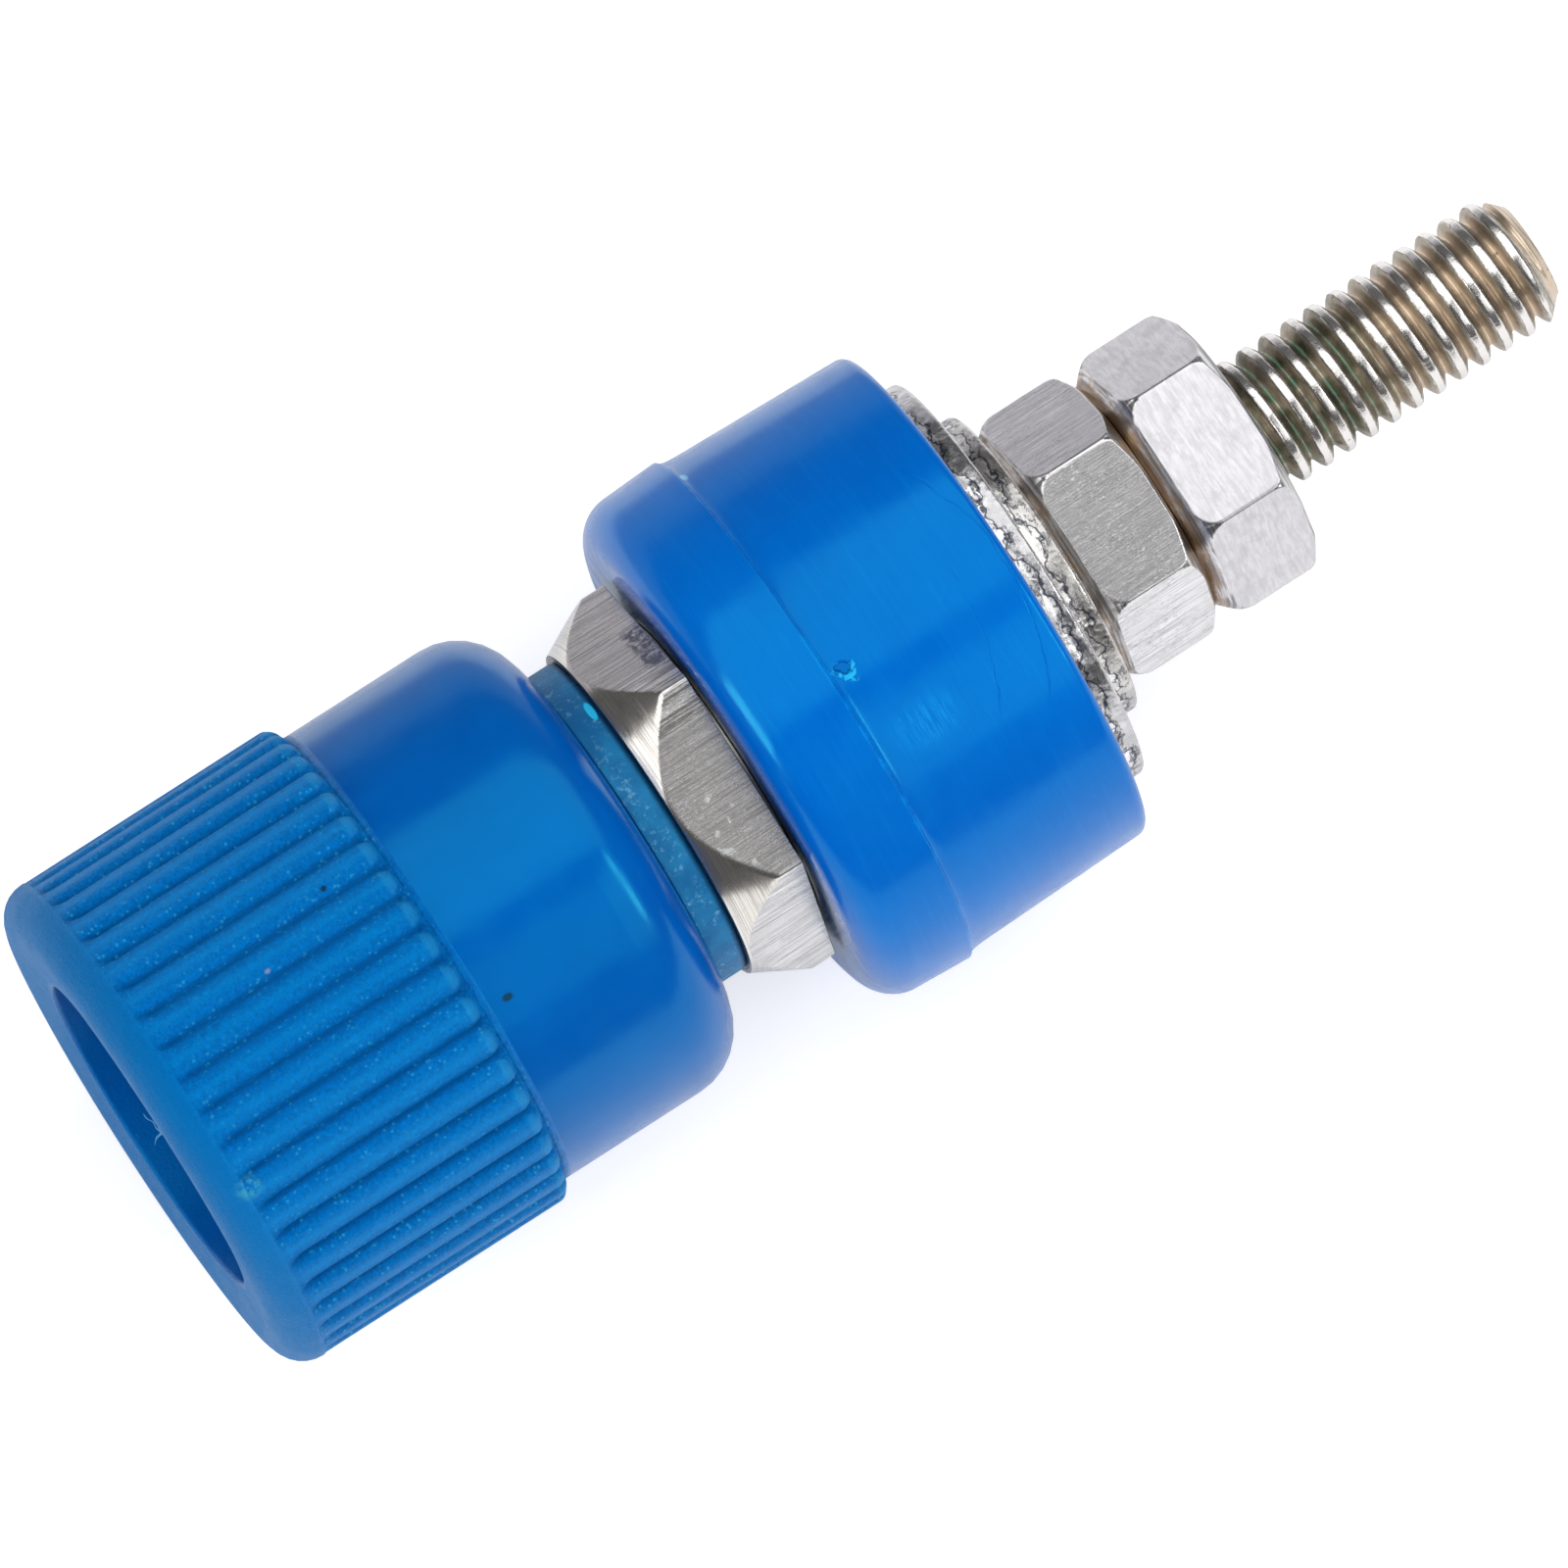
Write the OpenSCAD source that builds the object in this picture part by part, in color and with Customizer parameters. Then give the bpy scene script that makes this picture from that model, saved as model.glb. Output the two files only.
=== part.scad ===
// Insulated 4 mm binding post for a panel, with a screw-down knob and an M4 stud.
//
// Every piece is turned about one axis. A profile is drawn as (radius, station), where the
// station is the distance along that axis, and on_axis() lays the axis along +Y. Station 0 is
// the seat on the panel, between the two insulators. The knob is on the -Y side.

/* [Knob cap] */
// Overall length of the cap
cap_l = 14.75; // [13:0.05:18]
// Diameter of the smooth collar, and of the grooves' floor between the ribs
collar_d = 13.6; // [13:0.1:15]
// Length of the ribbed grip, from the front rim to the ends of the ribs
grip_l = 8.65; // [6:0.05:9.5]
// Number of grip ribs
rib_count = 45; // [24:1:48]
// Width of one round-backed rib
rib_w = 0.72; // [0.6:0.02:0.8]
// Height of the ribs above the collar
rib_h = 0.44; // [0.3:0.02:0.5]
// Radius of the edge round the front rim
rim_round = 0.95; // [0.6:0.05:1.2]
// How far the front face dishes in towards the recess
rim_dish = 0.18; // [0.05:0.01:0.4]
// Radius of the edge at the rear of the collar
collar_round = 1.8; // [1:0.05:1.9]
// Diameter of the recess that takes the plug's sleeve
recess_d = 9.1; // [8.2:0.1:9.8]
// Depth of the recess
recess_depth = 5.2; // [4.8:0.05:6]
// Thickness of the web that closes the recess round the socket tube
web_t = 0.8; // [0.5:0.05:1.2]

/* [Knob insert] */
// Wall of the threaded bush that is pressed into the cap
insert_wall = 0.85; // [0.6:0.05:0.95]
// How deep the bush lies in the rear of the cap
insert_inset = 2.4; // [2.35:0.05:3.5]

/* [Clamp ring] */
// How far the ring stands out past its sleeve, which slides in the cap
ring_step = 0.35; // [0.2:0.05:0.6]
// Length of the ring between the cap and the hexagon
ring_t = 0.92; // [0.6:0.02:1.4]
// Size of the bevel round the ring's rear edge
ring_bevel = 0.14; // [0.06:0.02:0.3]

/* [Stem] */
// Diameter of the threaded socket tube, over its crests
tube_d = 7; // [6.6:0.1:7.2]
// How far the socket tube stands out of the recess's floor
tube_proud = 0.58; // [0.1:0.02:1]
// Bore of the socket
socket_d = 4; // [3.9:0.01:4.1]
// Size of the bevel that leads the plug into the socket
socket_bevel = 0.3; // [0.1:0.05:0.5]
// How far the socket runs on into the hexagon
socket_past_face = 0.8; // [0:0.05:1.2]
// Diameter of the cross hole for a wire
wire_hole_d = 2.2; // [1.5:0.1:2.6]
// Distance from the hexagon's face to the middle of the cross hole
wire_hole_from_hex = 2.2; // [1.8:0.05:3]
// Width of the hexagon across its flats
hex_af = 9.85; // [9:0.05:11]
// Thickness of the hexagon
hex_t = 2.2; // [1.8:0.05:3]
// How much smaller than the flats the hexagon's front face is
hex_face_step = 0.06; // [0:0.02:0.6]
// Slope of the long turned bevel, from the axis
hex_bevel = 28; // [20:1:45]
// Turn of the hexagon about the axis
hex_turn = 13.9; // [0:0.1:59.9]
// How far the low seat behind the hexagon lies inside its flats
seat_step = 0.45; // [0.2:0.05:1]
// Height of that seat
seat_h = 0.15; // [0.1:0.01:0.3]
// Diameter of the stud, over its M4 crests
stud_d = 3.8; // [3.6:0.01:4]
// Length of the stud behind the panel
stud_l = 22.4; // [20:0.1:30]
// Height of the bevel on the stud's tip
stud_bevel = 0.55; // [0.2:0.05:0.7]
// Pitch of the stud's thread
thread_pitch = 0.7; // [0.5:0.05:1]
// Depth of the stud's thread
thread_depth = 0.4; // [0.2:0.02:0.44]
// How far behind the panel seat the thread begins
thread_start = 3; // [1:0.1:5]

/* [Insulators] */
// Diameter of both insulators where they meet the panel
insulator_d = 15.28; // [14:0.02:18]
// Thickness of the front flange
flange_t = 2.72; // [2.2:0.02:4]
// Radius of the flange's front edge
flange_round = 1.15; // [0.6:0.05:1.6]
// Draft of the flange's side
flange_draft = 3; // [0:0.5:5]
// Diameter of the spigot that lines the panel's hole
spigot_d = 8; // [7:0.1:10]
// Thickness of the rear insulator
rear_t = 5.7; // [4.5:0.05:8]
// Thickness of its floor, behind the spigot
rear_floor = 1.2; // [0.8:0.05:1.6]
// Draft of the rear insulator's side
rear_draft = 1.6; // [0:0.1:3]
// Height of the flare that rises to the panel
rear_flare = 0.15; // [0:0.01:0.3]
// Length over which the flare dies away
flare_l = 1.2; // [0.8:0.1:2]
// Radius of the rear insulator's rear edge
rear_round = 0.5; // [0.2:0.05:1]

/* [Washers and nuts] */
// Diameter of the large washer
large_washer_d = 12.05; // [11:0.05:13]
// Thickness of the large washer
large_washer_t = 0.74; // [0.5:0.02:1]
// Diameter of the small washer
small_washer_d = 9; // [8:0.1:10]
// Thickness of the small washer
small_washer_t = 0.8; // [0.5:0.02:1]
// Size of the rolled edge on both washers
washer_edge = 0.12; // [0.05:0.01:0.2]
// Width of the nuts across their flats
nut_af = 6.85; // [6.6:0.05:7.1]
// Thickness of each nut
nut_t = 3.08; // [2.4:0.02:3.4]
// How much smaller than the flats a nut's front face is
nut_front_step = 0.72; // [0.2:0.02:0.9]
// How much smaller than the flats a nut's rear face is
nut_rear_step = 0.16; // [0.04:0.02:0.6]
// Slope of a nut's front bevel, from its face
nut_front_bevel = 45; // [20:1:50]
// Slope of a nut's rear bevel, from its face
nut_rear_bevel = 60; // [20:1:62]
// Size of the countersink at each end of a nut's bore
nut_countersink = 0.2; // [0.1:0.02:0.3]
// Turn of the inner nut about the axis
inner_nut_turn = 11.7; // [0:0.1:59.9]
// Turn of the outer nut about the axis
outer_nut_turn = 4.5; // [0:0.1:59.9]

/* [Fits] */
// Running clearance on each side of a thread, and of the ring's sleeve in the cap
run_gap = 0.05; // [0.02:0.01:0.09]
// Clearance on each side of the spigot in the rear insulator
spigot_gap = 0.08; // [0.04:0.01:0.1]
// Clearance on each side of the stud in the insulators and washers
stud_gap = 0.25; // [0.1:0.01:0.4]
// Clearance on each side of the socket tube in the cap's web
web_gap = 0.2; // [0.1:0.05:0.4]
// Clearance on each side of the socket tube in the ring, which the cap's bore guides
ring_gap = 0.2; // [0.1:0.05:0.3]
// Clearance between faces that turn past each other
face_gap = 0.05; // [0.02:0.01:0.1]
// Clearance between the ring's sleeve and the bush
sleeve_end_gap = 0.25; // [0.1:0.05:0.4]
// Clearance past the end of the spigot
spigot_end_gap = 0.2; // [0.1:0.05:0.4]

/* [Hidden] */

$fn = 96;
overcut = 0.5; // how far a cutting solid reaches past the face that it cuts

// Stations in front of the panel seat, from the panel to the knob's front
flange_front = -flange_t;
hex_rear = flange_front - seat_h;
hex_front = hex_rear - hex_t;
ring_front = hex_front - ring_t;
cap_rear = ring_front - face_gap;
cap_front = cap_rear - cap_l;
recess_floor = cap_front + recess_depth;
web_rear = recess_floor + web_t;
rib_end = cap_front + grip_l;
tube_front = recess_floor - tube_proud;
insert_rear = cap_rear - insert_inset;
sleeve_front = insert_rear + sleeve_end_gap;

// Stations behind the panel seat
large_washer_at = rear_t;
small_washer_at = large_washer_at + large_washer_t;
inner_nut_at = small_washer_at + small_washer_t;
outer_nut_at = inner_nut_at + nut_t + face_gap;
spigot_l = rear_t - rear_floor - spigot_end_gap;

// Radii
collar_r = collar_d / 2;
grip_r = collar_r + rib_h;
rib_r = rib_w / 2;
rim_proud = 0.02; // the rim stands just above the ribs, and protects them
rim_r = grip_r + rim_proud;
tube_r = tube_d / 2;
insert_r = tube_r + run_gap + insert_wall;
ring_r = insert_r - run_gap + ring_step;
stud_r = stud_d / 2;
stud_hole_r = stud_r + stud_gap;
insulator_r = insulator_d / 2;
spigot_r = spigot_d / 2;

flank_angle = 30; // of the thread's sides, from straight across the axis
crest_share = 1 / 8; // of the pitch, left flat on the thread's crests

sides = 6; // of every hexagon
corner_ratio = 1 / cos(180 / sides); // a hexagon's corners to its flats

blue = "#0177c4";
frosted_blue = "#246aa0";
nickel = "#b8b6b2";
steel = "#a9aaab";

// Lays a piece that was turned about +Z along +Y
module on_axis() {
    rotate([-90, 0, 0])
        children();
}

// A solid of revolution from an outline in (radius, station)
module turned() {
    on_axis()
        rotate_extrude()
            children();
}

// Outline of a straight tube or disc between two stations
module band(inner_r, outer_r, from, to) {
    translate([inner_r, from])
        square([outer_r - inner_r, to - from]);
}

// Outline of the scrap outside a rounded corner at (r, at). The solid lies on the axis side of
// r, and way is 1 where it lies behind the corner's face and -1 where it lies in front.
module corner_scrap(r, at, radius, way) {
    difference() {
        translate([r - radius, way > 0 ? at - overcut : at - radius])
            square([radius + overcut, radius + overcut]);
        translate([r - radius, at + way * radius])
            circle(r = radius);
    }
}

// Outline of the bevel at a bore's mouth. way is 1 at its front end and -1 at its rear end.
module mouth(bore_r, at, bevel, way) {
    polygon([
        [0, at - way * overcut],
        [bore_r + bevel + overcut, at - way * overcut],
        [bore_r, at + way * bevel],
        [0, at + way * bevel]
    ]);
}

// A hexagon bar from one station to the next, turned about the axis
module hex_bar(across_flats, from, to, turn) {
    on_axis()
        translate([0, 0, from])
            rotate([0, 0, turn])
                cylinder(d = across_flats * corner_ratio, h = to - from, $fn = sides);
}

// The round-ended, round-backed ribs of the grip
module ribs() {
    bar_at = grip_r - rib_r;
    bar_from = cap_front + rim_round;
    bar_to = rib_end - rib_r;
    for (i = [0 : rib_count - 1])
        on_axis()
            rotate([0, 0, 90 + i * 360 / rib_count])
                translate([bar_at, 0, 0]) {
                    translate([0, 0, bar_from])
                        cylinder(r = rib_r, h = bar_to - bar_from, $fn = 24);
                    translate([0, 0, bar_to])
                        sphere(r = rib_r, $fn = 24);
                }
}

// Blue moulded cap: rim, recess, ribbed grip and smooth collar
module knob_cap() {
    color(blue)
        union() {
            turned()
                difference() {
                    union() {
                        band(0, collar_r, cap_front, cap_rear);
                        polygon([
                            [0, cap_front],
                            [rim_r, cap_front],
                            [rim_r, cap_front + rim_round],
                            [collar_r, cap_front + rim_round + rib_h],
                            [0, cap_front + rim_round + rib_h]
                        ]);
                    }
                    corner_scrap(rim_r, cap_front, rim_round, 1);
                    corner_scrap(collar_r, cap_rear, collar_round, -1);
                    polygon([
                        [0, cap_front - overcut],
                        [rim_r - rim_round, cap_front - overcut],
                        [rim_r - rim_round, cap_front],
                        [recess_d / 2, cap_front + rim_dish],
                        [0, cap_front + rim_dish]
                    ]);
                    band(0, recess_d / 2, cap_front, recess_floor);
                    band(0, tube_r + web_gap, cap_front, cap_rear + overcut);
                    band(0, insert_r, web_rear, cap_rear + overcut);
                }
            ribs();
        }
}

// Threaded metal bush, pressed into the cap against its web
module knob_insert() {
    color(nickel)
        turned()
            band(tube_r + run_gap, insert_r, web_rear, insert_rear);
}

// Frosted ring that presses the wire on the hexagon, guided by a sleeve in the cap
module clamp_ring() {
    color(frosted_blue)
        turned()
            difference() {
                union() {
                    band(0, insert_r - run_gap, sleeve_front, hex_front);
                    polygon([
                        [0, ring_front],
                        [ring_r, ring_front],
                        [ring_r, hex_front - ring_bevel],
                        [ring_r - ring_bevel, hex_front],
                        [0, hex_front]
                    ]);
                }
                band(0, tube_r + ring_gap, sleeve_front - overcut, hex_front + overcut);
            }
}

// Hexagon with its long turned bevel on the knob side
module stem_hexagon() {
    face_r = (hex_af - hex_face_step) / 2;
    bevel_r = face_r + hex_t * tan(hex_bevel);
    intersection() {
        hex_bar(hex_af, hex_front, hex_rear, hex_turn);
        turned()
            polygon([
                [0, hex_front],
                [face_r, hex_front],
                [bevel_r, hex_rear],
                [0, hex_rear]
            ]);
    }
}

// Outlines of the scrap between the stud's threads, as rings one pitch apart counted from its
// tip. The thread's lead is left out: rings keep the stud a true solid of revolution.
module thread_scrap() {
    half_root = (thread_pitch * (1 - crest_share)) / 2 - thread_depth * tan(flank_angle);
    half_mouth = half_root + (thread_depth + overcut) * tan(flank_angle);
    root_r = stud_r - thread_depth;
    for (i = [1 : floor((stud_l - thread_start) / thread_pitch)])
        translate([0, stud_l - i * thread_pitch])
            polygon([
                [root_r, -half_root],
                [stud_r + overcut, -half_mouth],
                [stud_r + overcut, half_mouth],
                [root_r, half_root]
            ]);
}

// One-piece stem: socket tube, hexagon, seat and stud
module stem() {
    wire_hole_at = hex_front - wire_hole_from_hex;
    color(nickel)
        difference() {
            union() {
                stem_hexagon();
                turned()
                    union() {
                        band(0, tube_r, tube_front, hex_front + overcut);
                        band(0, hex_af / 2 - seat_step, hex_rear - overcut, flange_front);
                        difference() {
                            polygon([
                                [0, hex_rear],
                                [stud_r, hex_rear],
                                [stud_r, stud_l - stud_bevel],
                                [stud_r - stud_bevel, stud_l],
                                [0, stud_l]
                            ]);
                            thread_scrap();
                        }
                    }
            }
            turned()
                union() {
                    band(0, socket_d / 2, tube_front - overcut, hex_front + socket_past_face);
                    mouth(socket_d / 2, tube_front, socket_bevel, 1);
                }
            on_axis()
                translate([0, 0, wire_hole_at])
                    rotate([0, 0, hex_turn])
                        rotate([90, 0, 0])
                            cylinder(d = wire_hole_d, h = tube_d + 2 * overcut, center = true);
        }
}

// Front insulator: flange on the panel's face, and the spigot through its hole
module front_insulator() {
    front_r = insulator_r - flange_t * tan(flange_draft);
    color(blue)
        turned()
            difference() {
                union() {
                    polygon([
                        [0, flange_front],
                        [front_r, flange_front],
                        [insulator_r, 0],
                        [0, 0]
                    ]);
                    band(0, spigot_r, flange_front, spigot_l);
                }
                corner_scrap(front_r, flange_front, flange_round, 1);
                band(0, stud_hole_r, flange_front - overcut, spigot_l + overcut);
            }
}

// Radius of the rear insulator's side: a straight draft, and a flare that dies away
function rear_side(at) =
    insulator_r - rear_flare * (1 - exp(-at / flare_l)) - at * tan(rear_draft);

// Rear insulator: ring behind the panel, counterbored for the spigot
module rear_insulator() {
    steps = 6;
    flare_end = rear_t / 2;
    end_r = rear_side(rear_t);
    color(blue)
        turned()
            difference() {
                polygon([
                    [0, 0],
                    for (i = [0 : steps]) [rear_side(flare_end * i / steps), flare_end * i / steps],
                    [end_r, rear_t],
                    [0, rear_t]
                ]);
                corner_scrap(end_r, rear_t, rear_round, -1);
                band(0, spigot_r + spigot_gap, -overcut, spigot_l + spigot_end_gap);
                band(0, stud_hole_r, -overcut, rear_t + overcut);
            }
}

// A flat washer with rolled edges
module washer(outer_d, from, thickness) {
    outer_r = outer_d / 2;
    color(steel)
        turned()
            polygon([
                [stud_hole_r, from],
                [outer_r - washer_edge, from],
                [outer_r, from + washer_edge],
                [outer_r, from + thickness - washer_edge],
                [outer_r - washer_edge, from + thickness],
                [stud_hole_r, from + thickness]
            ]);
}

module large_washer() {
    washer(large_washer_d, large_washer_at, large_washer_t);
}

module small_washer() {
    washer(small_washer_d, small_washer_at, small_washer_t);
}

// A hexagon nut, bevelled on both faces
module nut(from, turn) {
    front_r = (nut_af - nut_front_step) / 2;
    rear_r = (nut_af - nut_rear_step) / 2;
    middle = nut_t / 2;
    color(steel)
        difference() {
            intersection() {
                hex_bar(nut_af, from, from + nut_t, turn);
                turned()
                    polygon([
                        [0, from],
                        [front_r, from],
                        [front_r + middle / tan(90 - nut_front_bevel), from + middle],
                        [rear_r + middle / tan(90 - nut_rear_bevel), from + middle],
                        [rear_r, from + nut_t],
                        [0, from + nut_t]
                    ]);
            }
            turned()
                union() {
                    band(0, stud_r + run_gap, from - overcut, from + nut_t + overcut);
                    mouth(stud_r + run_gap, from, nut_countersink, 1);
                    mouth(stud_r + run_gap, from + nut_t, nut_countersink, -1);
                }
        }
}

module inner_nut() {
    nut(inner_nut_at, inner_nut_turn);
}

module outer_nut() {
    nut(outer_nut_at, outer_nut_turn);
}

knob_cap();
knob_insert();
clamp_ring();
stem();
front_insulator();
rear_insulator();
large_washer();
small_washer();
inner_nut();
outer_nut();
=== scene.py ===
# %% [markdown]
# # Binding post: looks
# A binding post joins a wire or a 4 mm plug to the inside of an instrument. This script gives each
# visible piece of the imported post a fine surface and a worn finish, in the post's own frame: the axis
# is Y, the knob is on the -Y side, and Y = 0 is the seat on the panel.

import math

import bpy
import numpy as np
from mathutils import Matrix, Vector


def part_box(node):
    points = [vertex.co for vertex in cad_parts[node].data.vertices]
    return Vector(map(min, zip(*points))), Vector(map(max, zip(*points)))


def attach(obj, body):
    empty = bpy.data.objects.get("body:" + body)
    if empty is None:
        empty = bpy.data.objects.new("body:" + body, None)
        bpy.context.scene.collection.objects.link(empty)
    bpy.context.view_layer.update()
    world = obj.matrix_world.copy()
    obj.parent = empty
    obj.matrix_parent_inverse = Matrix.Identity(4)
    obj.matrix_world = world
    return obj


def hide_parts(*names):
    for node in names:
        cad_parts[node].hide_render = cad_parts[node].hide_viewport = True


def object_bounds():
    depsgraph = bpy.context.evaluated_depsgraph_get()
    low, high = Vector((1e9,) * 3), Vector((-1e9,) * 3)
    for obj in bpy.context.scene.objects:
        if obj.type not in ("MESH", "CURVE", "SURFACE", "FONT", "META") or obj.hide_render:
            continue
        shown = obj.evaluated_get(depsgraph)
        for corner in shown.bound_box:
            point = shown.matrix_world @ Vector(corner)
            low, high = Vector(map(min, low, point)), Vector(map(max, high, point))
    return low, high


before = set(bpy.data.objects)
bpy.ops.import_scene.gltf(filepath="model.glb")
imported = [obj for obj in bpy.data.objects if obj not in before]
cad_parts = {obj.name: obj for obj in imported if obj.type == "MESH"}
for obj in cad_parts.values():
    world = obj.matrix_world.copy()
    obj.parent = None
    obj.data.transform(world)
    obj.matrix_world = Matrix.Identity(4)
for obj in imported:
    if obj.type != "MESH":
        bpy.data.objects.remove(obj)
cad_low, cad_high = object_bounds()
MM = 0.001
print("CAD box in mm:", [round(v / MM, 2) for v in (*cad_low, *cad_high)])


# %% [markdown]
# ## Sizes
# Each surface fills the place of the solid that it stands for. Its stations along the axis and its
# outer radius could be typed again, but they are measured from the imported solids, so that they can't
# drift apart. Only what a box can't tell is written here. All lengths are in millimetres.

# %% Sizes
def span(node):
    """Outer radius, first station and last station of a CAD node."""
    low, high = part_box(node)
    return high.z / MM, low.y / MM, high.y / MM


RIM_R, CAP_FRONT, CAP_REAR = span("knob_cap")
RING_FRONT = CAP_REAR + 0.05
_, FLANGE_FRONT, SPIGOT_END = span("front_insulator")
_, _, REAR_END = span("rear_insulator")
_, TUBE_FRONT, STUD_END = span("stem")
HEX_REAR, HEX_FRONT, HEX_TURN = FLANGE_FRONT - 0.15, FLANGE_FRONT - 2.35, 13.9
_, INNER_AT, INNER_END = span("inner_nut")
_, OUTER_AT, OUTER_END = span("outer_nut")
stations = (CAP_FRONT, CAP_REAR, HEX_FRONT, HEX_REAR, REAR_END, INNER_AT, OUTER_AT, STUD_END)
print("stations in mm:", [round(v, 2) for v in stations])


# %% [markdown]
# ## Grids
# Nearly all of the post is turned or moulded round its axis, so its pieces are grids of points:
# stations run along the axis and turns run round it. A Screw modifier could spin an outline too, but
# threads, ribs and torn edges need each row in a place of its own, and whole arrays of points give
# that in a few lines.

# %% Grids
def mesh_object(name, points, faces, slots=None):
    """A mesh from points in millimetres (n, 3) and quads (m, 4), with an optional material slot a quad."""
    mesh = bpy.data.meshes.new(name)
    mesh.vertices.add(len(points))
    mesh.vertices.foreach_set("co", (np.asarray(points) * MM).astype(np.float32).ravel())
    mesh.loops.add(faces.size)
    mesh.loops.foreach_set("vertex_index", faces.astype(np.int32).ravel())
    mesh.polygons.add(len(faces))
    mesh.polygons.foreach_set("loop_start", np.arange(0, faces.size, 4, dtype=np.int32))
    mesh.polygons.foreach_set("use_smooth", np.ones(len(faces), bool))
    if slots is not None:
        mesh.polygons.foreach_set("material_index", slots.astype(np.int32))
    mesh.update(calc_edges=True)
    mesh.validate()
    piece = bpy.data.objects.new(name, mesh)
    bpy.context.scene.collection.objects.link(piece)
    return piece


def polar(radius, angle, station):
    """Points (x, y, z) = (radius sin angle, station, radius cos angle)."""
    radius, angle, station = np.broadcast_arrays(radius, angle, station)
    return np.stack([radius * np.sin(angle), station, radius * np.cos(angle)], axis=-1)


def grid_faces(turns, rows, wrap_rows, shift=0):
    """Quads of a grid that closes round the axis, where it meets itself shift rows on, and the row of each."""
    i, j = np.meshgrid(np.arange(turns), np.arange(rows if wrap_rows else rows - 1), indexing="ij")
    last = i == turns - 1
    i2, j2 = (i + 1) % turns, (j + 1) % rows
    ja, jb = np.where(last, j + shift, j), np.where(last, j2 + shift, j2)
    keep = (ja >= 0) & (jb >= 0) & (ja < rows) & (jb < rows)
    quads = np.stack([i * rows + j, i2 * rows + ja, i2 * rows + jb, i * rows + j2], axis=-1)
    return quads[keep], j[keep]


print("a tube of 8 turns and 3 rows has", len(grid_faces(8, 3, False)[0]), "quads")


# %% [markdown]
# ## Outlines
# An outline is the path that a lathe's tool or a mould's edge would follow, in radius and station. No
# real edge is quite sharp, and only a rounded one catches a line of light, so each corner becomes a
# small arc. A Bevel modifier would round all edges alike. Here each corner has a radius of its own.

# %% Outlines
def outline(corners, closed=True, steps=6, hold=0.03):
    """Outline in (radius, station), each corner (radius, station, round) an arc tangent to both sides.
    One more point lies hold beyond each end of an arc, so that smooth shading stays within the arc."""
    p = np.array([c[:2] for c in corners], float)
    out = []
    for i, (_, _, round_r) in enumerate(corners):
        here = p[i]
        if round_r == 0 or (not closed and i in (0, len(p) - 1)):
            out.append(here[None])
            continue
        before, after = p[i - 1] - here, p[(i + 1) % len(p)] - here
        before, after = before / np.linalg.norm(before), after / np.linalg.norm(after)
        half = math.acos(np.clip(before @ after, -1, 1)) / 2
        middle = here + (before + after) / np.linalg.norm(before + after) * round_r / math.sin(half)
        reach, sweep = round_r / math.tan(half), math.pi - 2 * half
        t = np.linspace(0, 1, steps + 1)[:, None]
        start, end = here + before * reach - middle, here + after * reach - middle
        arc = middle + (np.sin((1 - t) * sweep) * start + np.sin(t * sweep) * end) / math.sin(sweep)
        out += [arc[:1] + before * hold, arc, arc[-1:] + after * hold]
    return np.concatenate(out)


def refined(line, longest, closed=True):
    """The outline with points added so that no step is longer than longest."""
    ends = np.concatenate([line, line[:1]]) if closed else line
    lengths = np.linalg.norm(np.diff(ends, axis=0), axis=1)
    steps = np.maximum(1, np.ceil(lengths / longest)).astype(int)
    parts = [np.linspace(a, b, n, endpoint=False) for a, b, n in zip(ends[:-1], ends[1:], steps)]
    return np.concatenate(parts + ([] if closed else [line[-1:]]))


def lathe(name, line, turns, closed=True, bend=None, drill=None):
    """Surface of revolution P(angle, row) = polar(r + dr, angle, s + ds), with (dr, ds) = bend(angle, r, s).
    drill(r, angle, s) gives the angle and s of points moved to the edge of a hole, and which were in it."""
    angle = np.arange(turns)[:, None] * 2 * np.pi / turns
    r, s = line[:, 0][None], line[:, 1][None]
    dr, ds = bend(angle, r, s) if bend else (0, 0)
    faces, _ = grid_faces(turns, len(line), closed)
    r, angle, s = np.broadcast_arrays(r + dr, angle, s + ds)
    if drill:
        angle, s, inside = drill(r, angle, s)
        faces = faces[~inside.ravel()[faces].all(1)]
    return mesh_object(name, polar(r, angle, s).reshape(-1, 3), faces)


bead = outline([(1, 0, 0.2), (2, 0, 0.2), (2, 1, 0.2), (1, 1, 0.2)])
print("a rounded square has", len(bead), "points, and", len(refined(bead, 0.1)), "when refined to 0.1 mm")


# %% [markdown]
# ## Creases and dents
# A bevelled nut is the smaller of a hexagon and a cone, point by point. Where the two meet, a plain
# minimum leaves a crease as sharp as a knife, so soft_min rounds it. Dents come from a sum of a few
# sines, which repeats for the same seed and needs no texture.

# %% Creases and dents
def soft_min(a, b, width):
    """The smaller of a and b, with the crease between them rounded over width."""
    h = np.clip(0.5 + 0.5 * (b - a) / width, 0, 1)
    return a * h + b * (1 - h) - width * h * (1 - h)


def waves(seed, *coordinates, count, low, high):
    """Smooth noise of about -1 to 1: a sum of sines in random directions, of wavelength 1/high to 1/low."""
    rng = np.random.default_rng(seed)
    total = 0
    for _ in range(count):
        way = rng.normal(size=len(coordinates))
        way *= 2 * np.pi * rng.uniform(low, high) / np.linalg.norm(way)
        total = total + np.sin(sum(w * c for w, c in zip(way, coordinates)) + rng.uniform(0, 2 * np.pi))
    return total / count ** 0.5 / 1.5


print("a crease 1 mm wide is cut back by", -float(soft_min(0.0, 0.0, 1.0)), "mm at its middle")


# %% [markdown]
# ## Material trees
# A finish is a tree of nodes, and making each node by hand takes four lines. This class makes one in a
# call, so that a finish reads as a recipe: noise, a ramp to turn it into a mask, and a coat of colour
# where the mask is 1. Everything reads object coordinates, so a mark stays on its piece as it moves.

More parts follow.
